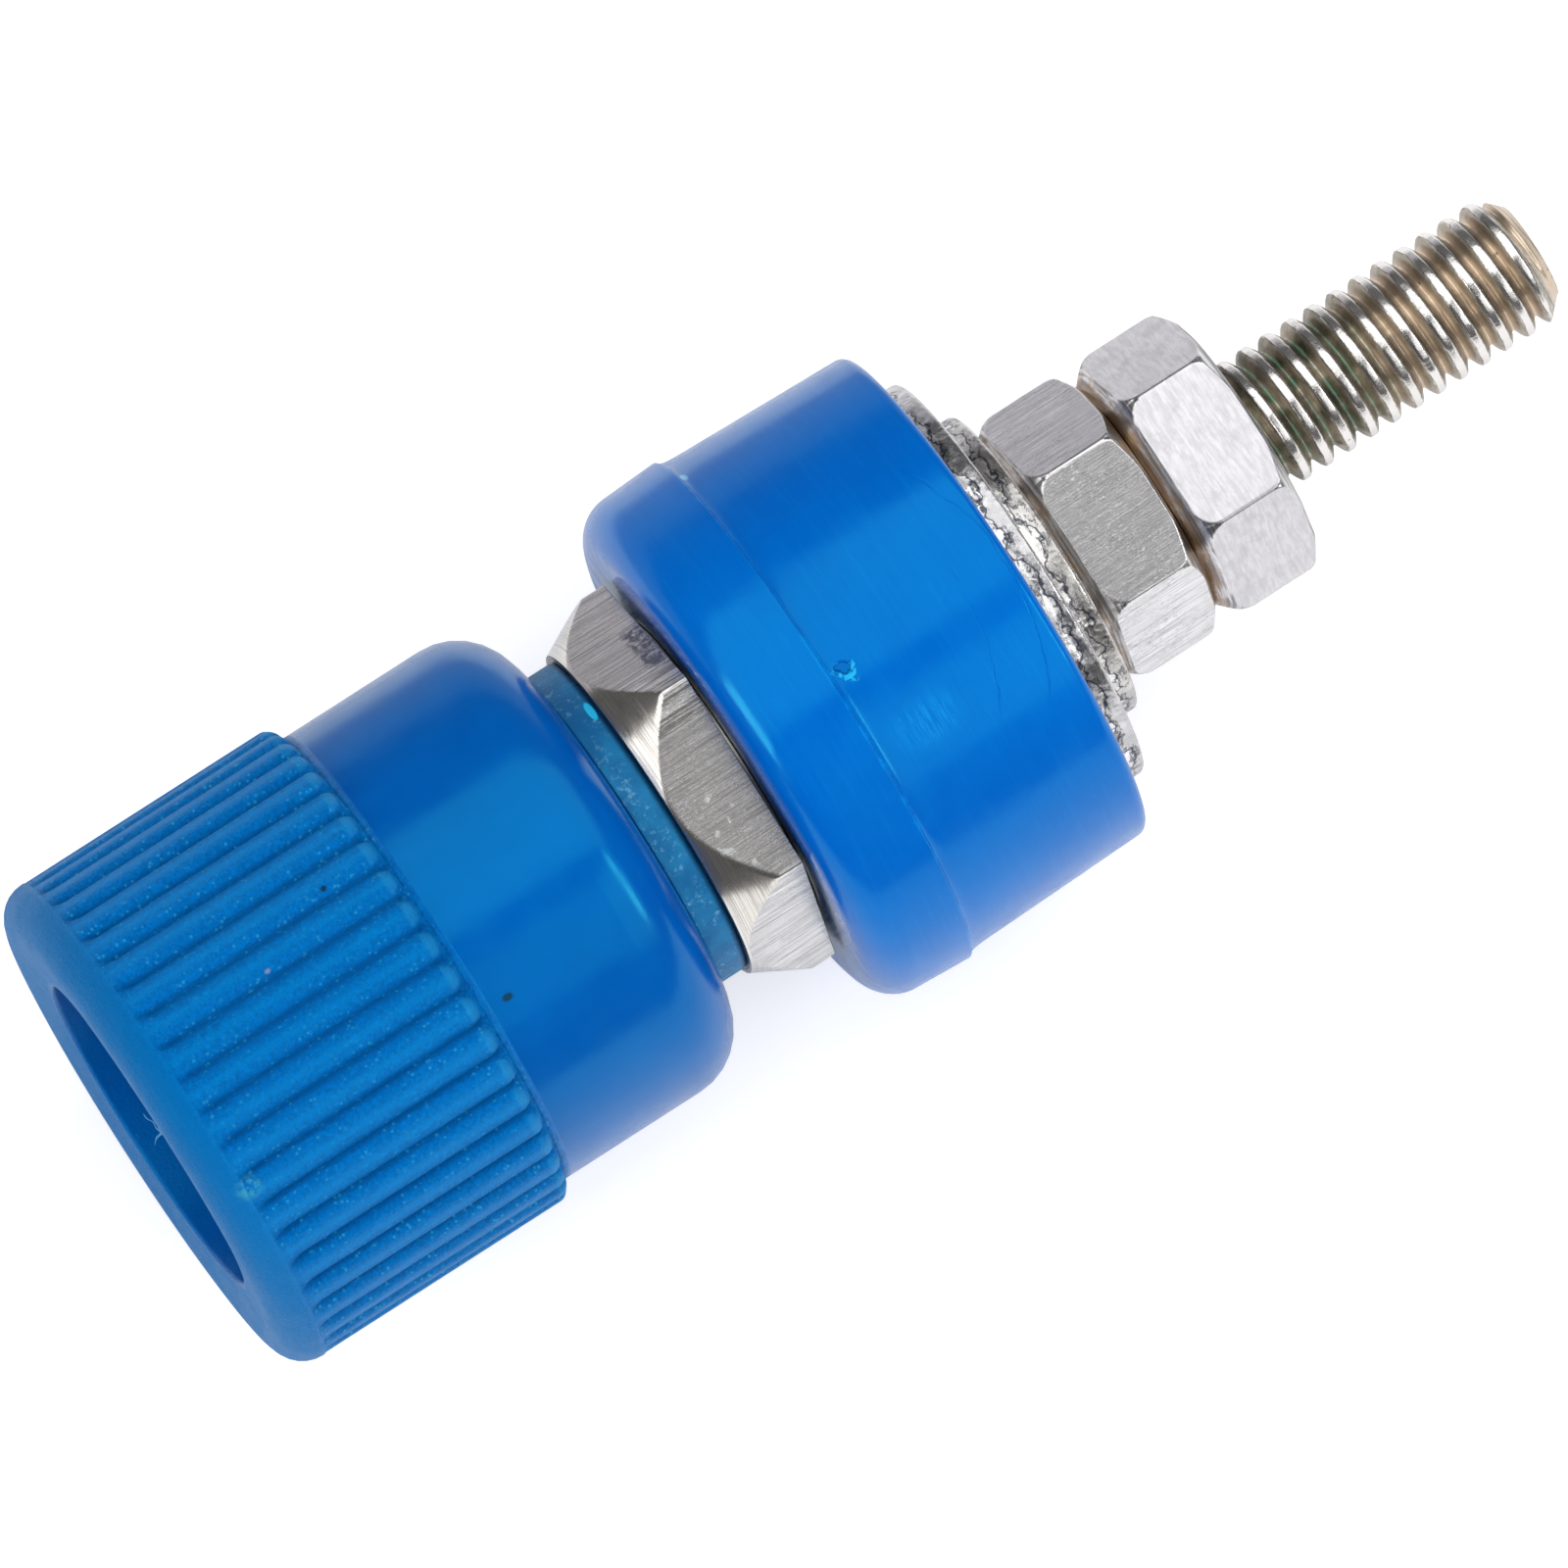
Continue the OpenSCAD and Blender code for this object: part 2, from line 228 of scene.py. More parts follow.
# %% Material trees
SOCKETS = {"color": "Base Color", "rough": "Roughness", "metal": "Metallic", "normal": "Normal", "ior": "IOR",
           "tint": "Specular Tint", "glow": "Emission Color", "glow_level": "Emission Strength"}


def on_side(radius, degrees, station):
    """The point at that radius, at degrees from +Z towards +X, and at that station."""
    a = math.radians(degrees)
    return radius * math.sin(a), station, radius * math.cos(a)


class Tree:
    """A material's nodes. place is the point in millimetres, (x, s, z), with s along the axis. radius and turn
    are the point's distance from the axis and its angle from +Z towards +X."""

    def __init__(self, name):
        self.material = bpy.data.materials.new(name)
        self.material.use_nodes = True
        self.tree = self.material.node_tree
        self.shader = self.tree.nodes["Principled BSDF"]
        place = self.tree.nodes.new("ShaderNodeTexCoord").outputs["Object"]
        self.place = self.vector("SCALE", place, scale=1 / MM)
        self.x, self.s, self.z = self.split(self.place)
        self.radius = self.calc("SQRT", self.add(self.times(self.x, self.x), self.times(self.z, self.z)))
        self.turn = self.calc("ARCTAN2", self.x, self.z)

    def put(self, socket, value):
        if isinstance(value, bpy.types.NodeSocket):
            self.tree.links.new(value, socket)
        elif value is not None:
            socket.default_value = value

    def calc(self, operation, a, b=None):
        n = self.tree.nodes.new("ShaderNodeMath")
        n.operation = operation
        self.put(n.inputs[0], a)
        self.put(n.inputs[1], b)
        return n.outputs[0]

    def add(self, a, b):
        return self.calc("ADD", a, b)

    def minus(self, a, b):
        return self.calc("SUBTRACT", a, b)

    def times(self, a, b):
        return self.calc("MULTIPLY", a, b)

    def either(self, a, b):
        return self.calc("MAXIMUM", a, b)

    def outside(self, mask):
        return self.calc("SUBTRACT", 1.0, mask)

    def vector(self, operation, a, b=None, scale=None):
        n = self.tree.nodes.new("ShaderNodeVectorMath")
        n.operation = operation
        self.put(n.inputs[0], a)
        self.put(n.inputs[1], b)
        if scale is not None:
            self.put(n.inputs["Scale"], scale)
        return n.outputs["Value" if operation in ("LENGTH", "DISTANCE") else "Vector"]

    def split(self, vector):
        n = self.tree.nodes.new("ShaderNodeSeparateXYZ")
        self.put(n.inputs[0], vector)
        return n.outputs[0], n.outputs[1], n.outputs[2]

    def join(self, x, y, z):
        n = self.tree.nodes.new("ShaderNodeCombineXYZ")
        for socket, value in zip(n.inputs, (x, y, z)):
            self.put(socket, value)
        return n.outputs[0]

    def texture(self, kind, vector, stretch, **inputs):
        n = self.tree.nodes.new(kind)
        vector = self.place if vector is None else vector
        self.put(n.inputs["Vector"], self.vector("MULTIPLY", vector, stretch) if stretch else vector)
        for key, value in inputs.items():
            self.put(n.inputs[key], value)
        return n.outputs

    def noise(self, scale, detail=2.0, rough=0.5, vector=None, stretch=None, warp=None):
        """Clouds of about 1/scale mm. stretch multiplies the coordinates, so a large one makes them narrow."""
        return self.texture("ShaderNodeTexNoise", vector, stretch,
                            Scale=scale, Detail=detail, Roughness=rough, Distortion=warp)[0]

    def cells(self, scale):
        """Distance to the nearest of many scattered points."""
        return self.texture("ShaderNodeTexVoronoi", None, None, Scale=scale)["Distance"]

    def ramp(self, value, low, high, out_low=0.0, out_high=1.0):
        """out_low below low, out_high above high, smooth between."""
        n = self.tree.nodes.new("ShaderNodeMapRange")
        n.interpolation_type = "SMOOTHSTEP"
        for socket, v in zip(n.inputs, (value, low, high, out_low, out_high)):
            self.put(socket, v)
        return n.outputs[0]

    def fall(self, value, low, high):
        """1 below low, 0 above high, smooth between."""
        return self.ramp(value, low, high, 1.0, 0.0)

    def band(self, value, low, high, soft):
        """1 from low to high, falling to 0 over soft on either side."""
        return self.times(self.ramp(value, low - soft, low), self.fall(value, high, high + soft))

    def spot(self, radius, degrees, station, size, soft=0.5, stretch=(1, 1, 1)):
        """1 near that point on the side, 0 further from it than size."""
        away = self.vector("SUBTRACT", self.place, on_side(radius, degrees, station))
        return self.fall(self.vector("LENGTH", self.vector("MULTIPLY", away, stretch)), size * (1 - soft), size)

    def mix(self, factor, a, b):
        n = self.tree.nodes.new("ShaderNodeMix")
        n.data_type = "RGBA"
        self.put(n.inputs["Factor"], factor)
        for socket, color in ((n.inputs[6], a), (n.inputs[7], b)):
            self.put(socket, color if isinstance(color, bpy.types.NodeSocket) else (*color, 1))
        return n.outputs[2]

    def coat(self, base, mask, strength, color):
        """The base with a coat of color over it where the mask is 1."""
        return self.mix(self.times(mask, strength), base, color)

    def bump(self, height, depth, normal=None):
        """Normal of a height from 0 to 1 that stands for depth in millimetres."""
        n = self.tree.nodes.new("ShaderNodeBump")
        self.put(n.inputs["Height"], height)
        self.put(n.inputs["Distance"], depth * MM)
        self.put(n.inputs["Normal"], normal)
        return n.outputs[0]

    def finish(self, **sockets):
        for key, value in sockets.items():
            is_color = isinstance(value, tuple) and len(value) == 3
            self.put(self.shader.inputs[SOCKETS[key]], (*value, 1) if is_color else value)
        print("finish", self.material.name, "has", len(self.tree.nodes), "nodes")
        return self.material


# %% [markdown]
# ## Dressing a piece
# A surface alone wouldn't move with the post. So each piece rides on a body of the mechanism and stands
# in for solids, which are then hidden. The stem is one solid but takes several surfaces, so what they
# have in common is kept as STEM.

# %% Dressing a piece
def dress(piece, body, nodes, slot, *materials):
    """Gives a piece its materials, and joins it to its body and its CAD nodes; slot is not used."""
    for material in materials:
        piece.data.materials.append(material)
    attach(piece, body)
    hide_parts(*nodes)
    print("piece", piece.name, "has", 2 * len(piece.data.polygons), "triangles and rides on", body)
    return piece


STEM = "post", ["stem"], "nickel_brass"


# %% [markdown]
# ## Blue mouldings
# The cap and the insulators are moulded from a glossy blue plastic. A plain glossy shader looks like
# glass. What makes it a moulding is faint: flow in the colour, ripples that bend its reflections, and
# dust. A real plastic mirrors white light as white. Here the mirrored light is tinted blue, which keeps
# the blue saturated under such broad lamps.

# %% Blue mouldings
CAP_BLUES = (0.0, 0.078, 0.36), (0.0, 0.092, 0.40)
INSULATOR_BLUES = (0.0, 0.100, 0.47), (0.0, 0.117, 0.51)
PLASTIC = dict(ior=1.55, tint=(0.05, 1.0, 1.0))


def moulding(t, deep, bright):
    """Base colour, roughness and normal of a glossy blue moulding."""
    color = t.mix(t.ramp(t.noise(0.25, 3.0, 0.6), 0.3, 0.7), deep, bright)
    dust = t.fall(t.cells(1.1), 0.0, 0.035)
    rough = t.add(t.ramp(t.noise(1.2, 4.0), 0.35, 0.7, 0.17, 0.24), t.times(dust, 0.25))
    fine = t.ramp(t.noise(1.0, 3.0, 0.7, stretch=(2, 14, 2)), 0.3, 0.7)
    return color, rough, t.bump(fine, 0.0006, t.bump(t.noise(0.7, 1.0), 0.006))


print("the cap's blues run from", CAP_BLUES[0], "to", CAP_BLUES[1])


# %% [markdown]
# ## Knob cap
# Fingers have rubbed the ribbed grip and the rim until they are matt, granular and paler, while the
# collar and the recess have kept their gloss. One material does it all, so that the change from one
# finish to the other is gradual: masks made from the radius, the station and the angle within a rib
# say where the wear is. The same masks paint a highlight along each rib's back and at each rib's rear
# end, and shade in each groove. The small marks on it are a sprue scar, a hair and three specks.

# %% Knob finish
RIBS, RIB_H, RIB_ROUND = 45, 0.44, 0.36
COLLAR_R, RECESS_R = RIM_R - 0.02 - RIB_H, 4.55
RIB_END = CAP_FRONT + 8.65


def worn_and_shaded_knurl(t, grain):
    """Colour of the worn grip: a painted highlight along each rib's back and painted shade in each groove."""
    phase = t.add(t.times(t.turn, RIBS / (2 * math.pi)), 0.5)
    rib = t.calc("ABSOLUTE", t.minus(t.calc("FRACT", phase), 0.5))
    worn = t.mix(t.ramp(grain, 0.36, 0.64), (0.0, 0.165, 0.64), (0.0, 0.275, 0.91))
    # Painted highlight: a paler line along each rib's back.
    worn = t.mix(t.ramp(rib, 0.03, 0.16, 0.45, 0.0), worn, (0.0, 0.32, 0.92))
    # Painted shade: a darker line in each groove.
    worn = t.mix(t.ramp(rib, 0.36, 0.46, 0.0, 0.45), worn, (0.0, 0.10, 0.48))
    patches = t.times(t.ramp(t.noise(1.3, 3.0), 0.36, 0.54), t.ramp(rib, 0.1, 0.3, 0.25, 1.0))
    return worn, t.times(t.fall(t.cells(5.5), 0.14, 0.32), patches)


def knob_marks(t, color):
    """A sprue scar on the rim, a hair in the recess, and specks on the collar and the knurl."""
    torn = t.ramp(t.noise(6.0, 4.0), 0.40, 0.56)
    sprue = t.times(t.spot(7.26, 30.3, CAP_FRONT + 1.1, 0.42, 0.7, (1, 0.8, 1)), torn)
    color = t.coat(color, sprue, 0.7, (0.08, 0.52, 0.74))
    strand = t.band(t.noise(1.6, 1.0), 0.495, 0.505, 0.02)
    hair = t.times(t.spot(RECESS_R, 191, CAP_FRONT + 0.8, 0.5, 0.3), strand)
    color = t.coat(color, hair, 0.7, (0.25, 0.70, 0.95))
    dark = t.either(t.spot(COLLAR_R, 26.9, -11.39, 0.14, 0.5, (1, 0.7, 1)), t.spot(RIM_R, -13.9, -13.9, 0.13))
    color = t.coat(color, dark, 0.9, (0.008, 0.012, 0.04))
    return t.coat(color, t.spot(RIM_R, -5, -16.3, 0.16), 0.8, (0.75, 0.60, 0.70))


def knob_material():
    """The cap: glossy collar, rim and recess, and a knurl worn matt and granular, with painted highlights on
    its ribs and painted shade in its grooves.
    """
    t = Tree("knob_blue")
    color, rough, normal = moulding(t, *CAP_BLUES)
    outer_side = t.ramp(t.radius, COLLAR_R - 0.3, COLLAR_R - 0.1)
    knurl = t.times(outer_side, t.band(t.s, CAP_FRONT + 1.0, RIB_END, 0.25))
    grain = t.noise(11.0, 4.0, 0.8)
    worn, specks = worn_and_shaded_knurl(t, grain)
    color = t.mix(knurl, color, worn)
    color = t.coat(color, t.times(knurl, specks), 0.7, (0.05, 0.55, 0.98))
    rim = t.times(t.ramp(t.radius, 4.5, 4.8), t.fall(t.s, CAP_FRONT + 0.8, CAP_FRONT + 1.2))
    color = t.coat(color, rim, 0.85, (0.0, 0.225, 0.74))
    # Painted highlight: the outer edges of the ribs' rear ends are painted paler, for the glints they catch.
    rear_end = t.band(t.s, RIB_END - 0.34, RIB_END - 0.16, 0.12)
    painted_tip_highlight = t.times(rear_end, t.ramp(t.radius, RIM_R - 0.22, RIM_R - 0.12))
    color = t.coat(color, painted_tip_highlight, 0.35, (0.04, 0.45, 0.95))
    matt = t.either(knurl, rim)
    rough = t.add(rough, t.times(matt, t.ramp(grain, 0.3, 0.7, 0.20, 0.36)))
    normal = t.bump(t.times(matt, grain), 0.22, normal)
    return t.finish(color=knob_marks(t, color), rough=rough, normal=normal, **PLASTIC)


knob_blue = knob_material()


# %% [markdown]
# The cap's shape is a mould's: a deep recess for the plug, a rounded rim, 45 low ribs parted by narrow
# V grooves, and a collar with a large rounded rear edge. The ribs could be cut by an Array of small
# solids and a Boolean, which leaves ragged meshes. Here one formula gives the radius at each angle and
# station, and more points lie where it bends: in the grooves and at the ribs' rounded ends.

# %% Knob cap
def rib_height(angle, station):
    """Radius of the grip, RIM_R - 0.02 - drop. The drop is a V in each groove, with v = 0 over the rib's back
    and 1 at the groove's middle, and a quarter circle of RIB_ROUND at each rib's rear end."""
    pitch = 2 * np.pi / RIBS
    off = np.abs((angle + pitch / 2) % pitch - pitch / 2) / (pitch / 2)
    v = np.clip((off - 0.45) / 0.55, 0, 1)
    v = 0.5 * v + 0.5 * v * v
    start = np.clip((station - CAP_FRONT - 0.95) / 0.5, 0, 1)
    past = np.clip((station - (RIB_END - RIB_ROUND)) / RIB_ROUND, 0, 1)
    near_end = np.clip((station - RIB_END + 0.45) / 0.4, 0, 1)
    groove, end = start * (0.25 * v + 0.05 * off**2), (RIB_H + 0.05) * (1 - np.sqrt(1 - past**2))
    return RIM_R - 0.02 - (groove + end + 0.35 * v * near_end ** 2)


def rib_angles():
    """Angles of the grid, in radians: within each rib's pitch, closer together beside and in the groove."""
    pitch = 360 / RIBS
    half = np.array([0.0, 1.2, 2.0, 2.5, 2.85, 3.05, 3.35])
    period = np.concatenate([half, [3.65, 4.0, 4.35], pitch - half[:0:-1]])
    return np.radians((np.arange(RIBS)[:, None] * pitch + period).ravel())[:, None]


def knob_cap():
    """The cap's outline turned round the axis, with r = max(rib_height, COLLAR_R) over the rows of the grip."""
    recess_end, web, bore_r, rear_r = CAP_FRONT + 5.2, CAP_FRONT + 6.0, 3.7, 4.4
    outer = outline([
        (RECESS_R, CAP_FRONT + 0.18, 0.12),
        (RIM_R - 1.2, CAP_FRONT, 1.0),
        (RIM_R, CAP_FRONT, 0.94),
        (RIM_R, CAP_FRONT + 0.98, 0.0),
        (COLLAR_R, RIB_END + 0.03, 0.0),
        (COLLAR_R, RIB_END + 0.08, 0.0),
        (COLLAR_R, RIB_END + 0.5, 0.0),
        (COLLAR_R, CAP_REAR, 1.8),
        (rear_r, CAP_REAR, 0.15),
        (rear_r, web, 0.1),
        (bore_r, web, 0.1),
        (bore_r, recess_end, 0.1),
        (RECESS_R, recess_end, 0.15),
    ], steps=7)
    ribbed = np.concatenate([
        np.linspace(CAP_FRONT + 1.02, CAP_FRONT + 1.5, 8),
        np.linspace(CAP_FRONT + 1.8, RIB_END - 0.6, 9),
        RIB_END - 0.55 + np.linspace(0, 0.58, 20),
    ])
    cut = np.flatnonzero(outer[:, 1] > RIB_END)[0]
    line = np.concatenate([outer[:cut], np.stack([np.full(len(ribbed), RIM_R), ribbed], 1), outer[cut:]])
    on_ribs = np.zeros(len(line), bool)
    on_ribs[cut:cut + len(ribbed)] = True
    angle, s = rib_angles(), line[:, 1][None]
    grip = np.maximum(rib_height(angle, s), COLLAR_R - 0.005)
    r = np.where(on_ribs[None], grip, line[:, 0][None])
    faces, _ = grid_faces(len(angle), len(line), True)
    return mesh_object("knob_cap_skin", polar(r, angle, s).reshape(-1, 3), faces)


dress(knob_cap(), "knob", ["knob_cap"], "knob_blue", knob_blue)


# %% [markdown]
# ## Bare metals
# The metal is nickel-plated brass and plated steel, and a bare metal shows little but what it mirrors.
# Its finish is the trace of how it was cut: straight streaks where a flat was drawn or milled, and
# rings where the piece was turned. A stretched noise gives both. It shades the colour a little and
# lifts the normal by a few thousandths of a millimetre, which breaks up the reflections.

# %% Bare metals
NICKEL, STEEL, BROWN = (0.80, 0.765, 0.72), (0.76, 0.75, 0.76), (0.38, 0.25, 0.14)


def shaded(color, level):
    return tuple(level * c for c in color)


def worn_metal(name, color, rough, streaks, pits, bump=0.006, marks=None, low=0.55):
    """Plated metal: streaks down to the low level, dark and bright pits, tarnish and, if set, marks."""
    t = Tree(name)
    streak = t.noise(1.0, 5.0, 0.75, stretch=streaks)
    mottle = t.noise(1.4, 4.0, 0.65)
    dash = t.noise(1.0, 3.0, 0.7, stretch=(17, 6, 17))
    patch = t.ramp(t.noise(0.7, 3.0, 0.6), 0.40, 0.62, 0.15, 1.0)
    pit = t.times(t.ramp(dash, 0.60, 0.66), patch)
    gleam = t.times(t.fall(dash, 0.36, 0.41), patch)
    shade = t.mix(t.ramp(streak, 0.40, 0.60), shaded(color, low), color)
    shade = t.mix(t.ramp(mottle, 0.42, 0.7, 0.0, 0.35), shade, shaded(color, 0.62))
    shade = t.coat(shade, pit, pits, shaded(color, 0.3))
    shade = t.coat(shade, gleam, 0.8 * pits, (0.93, 0.93, 0.93))
    if marks:
        shade = marks(t, shade)
    rough = t.add(t.ramp(streak, 0.3, 0.7, rough + 0.06, rough - 0.05), t.times(gleam, 0.25 * pits))
    normal = t.bump(streak, bump, t.bump(t.outside(pit), 0.006 * pits))
    return t.finish(color=shade, metal=1.0, rough=rough, normal=normal)


def turned_metal(name, color, rough, fine=22.0, depth=0.008, low=0.32, grime_and_shade=None):
    """Turned metal: rings round the axis, down to the low level, broken by wear. grime_and_shade is (face, way,
    reach, strength): brown at an end face, partly grime and partly painted shade where parts meet, thinning out
    over reach along way."""
    t = Tree(name)
    across = t.join(t.times(t.turn, 0.7), t.times(t.s, fine), t.times(t.radius, 0.3 * fine))
    ring = t.noise(1.0, 4.0, 0.7, vector=across)
    worn = t.noise(2.2, 4.0, 0.7)
    shade = t.mix(t.ramp(ring, 0.40, 0.60), shaded(color, low), color)
    shade = t.mix(t.ramp(worn, 0.5, 0.75, 0.0, 0.4), shade, shaded(color, 0.55))
    # Brown at the end face: partly grime, partly painted shade in the gap where the piece meets its neighbour.
    if grime_and_shade:
        face, way, reach, strength = grime_and_shade
        away = t.add(t.times(t.minus(t.s, face), way), t.ramp(worn, 0.3, 0.7, -0.15, 0.15))
        shade = t.mix(t.ramp(away, 0.0, reach, strength, 0.0), shade, BROWN)
    rough = t.ramp(ring, 0.35, 0.65, rough + 0.1, rough - 0.04)
    return t.finish(color=shade, metal=1.0, rough=rough, normal=t.bump(ring, depth))


turned = turned_metal("turned_nickel", NICKEL, 0.32)


# %% [markdown]
# ## Knob insert
# A threaded bush is pressed into the cap, and it is what runs on the tube's thread. Only its end shows,
# deep in the cap, so a plain turned ring with bevelled ends is enough.

# %% Knob insert
def knob_insert():
    """Outline of the bush, turned round the axis."""
    radius, front, rear = span("knob_insert")
    bore_r = 3.6
    line = outline([(bore_r, front, 0.1), (radius, front, 0.08), (radius, rear, 0.08), (bore_r, rear, 0.1)])
    return lathe("knob_insert_skin", refined(line, 0.3), 192)


dress(knob_insert(), "knob", ["knob_insert"], "nickel_brass", turned)


# %% [markdown]
# ## Clamp ring
# The ring that presses the wire down is of another, frosted plastic, more teal than the cap, rubbed
# pale in specks, with a bright chip of flash at its edge. Its softness is a high roughness and a fine
# bump. Its shape is turned: a narrow neck that hides in the cap, and the ring itself.

# %% Clamp ring
RING_R, RING_NECK_R, RING_BORE_R = 4.7, 4.35, 3.7


def ring_material():
    """The clamp ring: frosted teal, mottled with pale rubbed specks, and painted darker at its rear bevel as
    painted shade.
    """
    t = Tree("ring_blue")
    fine = t.noise(5.0, 5.0, 0.7)
    color = t.mix(t.ramp(t.noise(1.3, 3.0), 0.35, 0.65), (0.004, 0.11, 0.31), (0.008, 0.16, 0.38))
    specks = t.times(t.ramp(fine, 0.52, 0.7), t.ramp(t.noise(1.1, 2.0), 0.4, 0.6))
    color = t.coat(color, specks, 0.7, (0.20, 0.45, 0.66))
    # Painted shade: the rear bevel beside the hexagon is painted darker, where the edge turns away.
    color = t.mix(t.ramp(t.s, HEX_FRONT - 0.22, HEX_FRONT - 0.08), color, (0.0, 0.05, 0.16))
    flash = t.spot(4.72, -31, HEX_FRONT - 0.2, 0.42, 0.3, (1, 3.5, 1))
    color = t.mix(flash, color, (0.02, 0.52, 0.88))
    rough = t.ramp(fine, 0.3, 0.7, 0.42, 0.6)
    return t.finish(color=color, rough=rough, normal=t.bump(fine, 0.03), ior=1.5, tint=(0.3, 1.0, 0.95))


ring_blue = ring_material()
ring_line = outline([
    (RING_BORE_R, RING_FRONT - 2.2, 0.05),
    (RING_NECK_R, RING_FRONT - 2.2, 0.05),
    (RING_NECK_R, RING_FRONT, 0.0),
    (RING_R, RING_FRONT, 0.05),
    (RING_R, HEX_FRONT, 0.14),
    (RING_BORE_R, HEX_FRONT, 0.05),
])
dress(lathe("clamp_ring_skin", refined(ring_line, 0.2), 384), "ring", ["clamp_ring"], "ring_blue", ring_blue)


# %% [markdown]
# ## Hexagons
# The stem's hexagon and both nuts start as drawn hexagonal bar, and then a lathe cuts their ends to
# cones, which leaves a crescent over each flat. A Bevel modifier can't make that crescent. Taking the
# smaller of hexagon and cone does, just as the cutter did. A worn nut's flats also end in rounded
# outlines, so the surface falls away outside them.

# %% Hexagons
def from_flat(angle, turn):
    """Angle from the middle of the nearest flat, when one faces turn degrees from +Z towards +X."""
    return (angle - math.radians(turn) + np.pi / 6) % (np.pi / 3) - np.pi / 6


def hexagon(off, across_flats, crease):
    """Radius of a hexagon at an angle off the middle of a flat, with its corners rounded over crease."""
    here, beside = np.cos(off), np.cos(np.pi / 3 - np.abs(off))
    return soft_min(across_flats / 2 / here, across_flats / 2 / beside, crease)


def face_fall(off, s, across_flats, front, rear, corner, slope, margins):
    """How far the surface falls away outside a flat's rounded outline: slope max(0, |(u, v)| - corner), with
    u and v the overshoots across and along beyond the flat's outline shrunk by corner."""
    u = np.maximum(0, across_flats / 2 * (np.abs(np.tan(off)) - math.tan(np.pi / 6)) + corner) + 0 * s
    v = np.maximum(0, np.maximum(front + margins[0] - s, s - rear + margins[1]) + corner)
    return slope * np.maximum(0, np.hypot(u, v) - corner)


def hex_piece(name, across_flats, turn, front, rear, front_cone, rear_cone, inner, crease,
              rows=64, corner=0.0, slope=1.0, margins=(0, 0), turns=576):
    """A bevelled hexagon: r = soft_min(hexagon - face_fall, front cone, rear cone), where a cone is (radius at
    the end, growth per mm). Slot 0 is the flats, 1 and 2 the front and rear bevels, 3 the ends and bore."""
    angle = np.arange(turns)[:, None] * 2 * np.pi / turns
    along = np.linspace(0, 1, rows)[None]
    s = front + (rear - front) * (0.3 - 0.3 * np.cos(np.pi * along) + 0.4 * along) + 0 * angle
    off = from_flat(angle, turn)
    full = hexagon(off, across_flats, crease) + 0 * s
    flats = full - (face_fall(off, s, across_flats, front, rear, corner, slope, margins) if corner else 0)
    a, b = front_cone[0] + (s - front) * front_cone[1], rear_cone[0] + (rear - s) * rear_cone[1]
    side = soft_min(soft_min(flats, a, crease), b, crease)

    fallen = full - flats > 0.004
    in_front = ((a < flats) & (a < b)) | (fallen & (s < (front + rear) / 2))
    kind = np.where(in_front, 1, np.where((b < flats) | fallen, 2, 0))

    share = np.array([0.0, 0.02, 0.3, 0.6, 0.9, 0.97, 0.993])[None]
    front_r, rear_r = inner + (side[:, :1] - inner) * share, inner + (side[:, -1:] - inner) * share[:, ::-1]
    bore_s = np.linspace(rear, front, 6)[None, 1:-1] + 0 * angle
    r = np.concatenate([front_r, side, rear_r, np.full(bore_s.shape, inner)], 1)
    s = np.concatenate([np.full(front_r.shape, front), s, np.full(rear_r.shape, rear), bore_s], 1)
    faces, row = grid_faces(turns, r.shape[1], True)
    side_row = row - share.size
    in_side = (side_row >= 0) & (side_row < rows - 1)
    turn_of = np.repeat(np.arange(turns), r.shape[1])
    slots = np.where(in_side, kind[turn_of, np.clip(side_row, 0, rows - 1)], 3)
    return mesh_object(name, polar(r, angle, s).reshape(-1, 3), faces, slots)


print("a 7 mm hexagon's corner lies at", round(float(hexagon(np.pi / 6, 7.0, 0.05)), 2), "mm")


# %% [markdown]
# The stem's hexagon has long milled streaks on its flats and a bright turned bevel. Handling has left
# it with oily smudges and dents, which belong to one flat or another, so their masks are made from the
# angle and the station.

# %% Stem hexagon and seat
def smudges(t, shade):
    """Deep bars over the middle flat's upper part, oily smudges by the upper flat's rear edge, and dents."""
    degrees = t.calc("DEGREES", t.turn)
    bars = t.ramp(t.noise(1.0, 4.0, 0.8, stretch=(18, 0.3, 18)), 0.47, 0.53)
    barred = t.mix(bars, (0.25, 0.24, 0.23), (0.97, 0.96, 0.94))
    shade = t.coat(shade, t.band(degrees, -25, -8, 5), 0.75, barred)
    near = t.times(t.band(t.s, HEX_REAR - 0.5, HEX_REAR - 0.1, 0.2), t.band(degrees, -49, -29, 4))
    oil = t.times(near, t.ramp(t.noise(4.5, 6.0, 0.8), 0.42, 0.54))
    shade = t.coat(shade, oil, 0.8, (0.05, 0.065, 0.13))
    dents = t.times(t.spot(5.05, 27, HEX_FRONT + 1.25, 1.3, 0.3), t.ramp(t.noise(2.4, 2.0), 0.60, 0.64))
    return t.mix(dents, shade, (0.95, 0.95, 0.95))


hex_flat = worn_metal("hex_flat", (0.82, 0.80, 0.79), 0.25, (26, 0.4, 26), pits=0.3,
                      bump=0.0022, marks=smudges, low=0.5)
hex_bevel = turned_metal("hex_bevel", NICKEL, 0.13, 24.0, 0.0015, low=0.7)
hexagon_piece = hex_piece("stem_hexagon", across_flats=9.85, turn=HEX_TURN, front=HEX_FRONT, rear=HEX_REAR,
                          front_cone=(4.895, math.tan(math.radians(28))), rear_cone=(9.0, 0.0),
                          inner=1.9, crease=0.04)
dress(hexagon_piece, *STEM, hex_flat, hex_bevel, turned, turned)

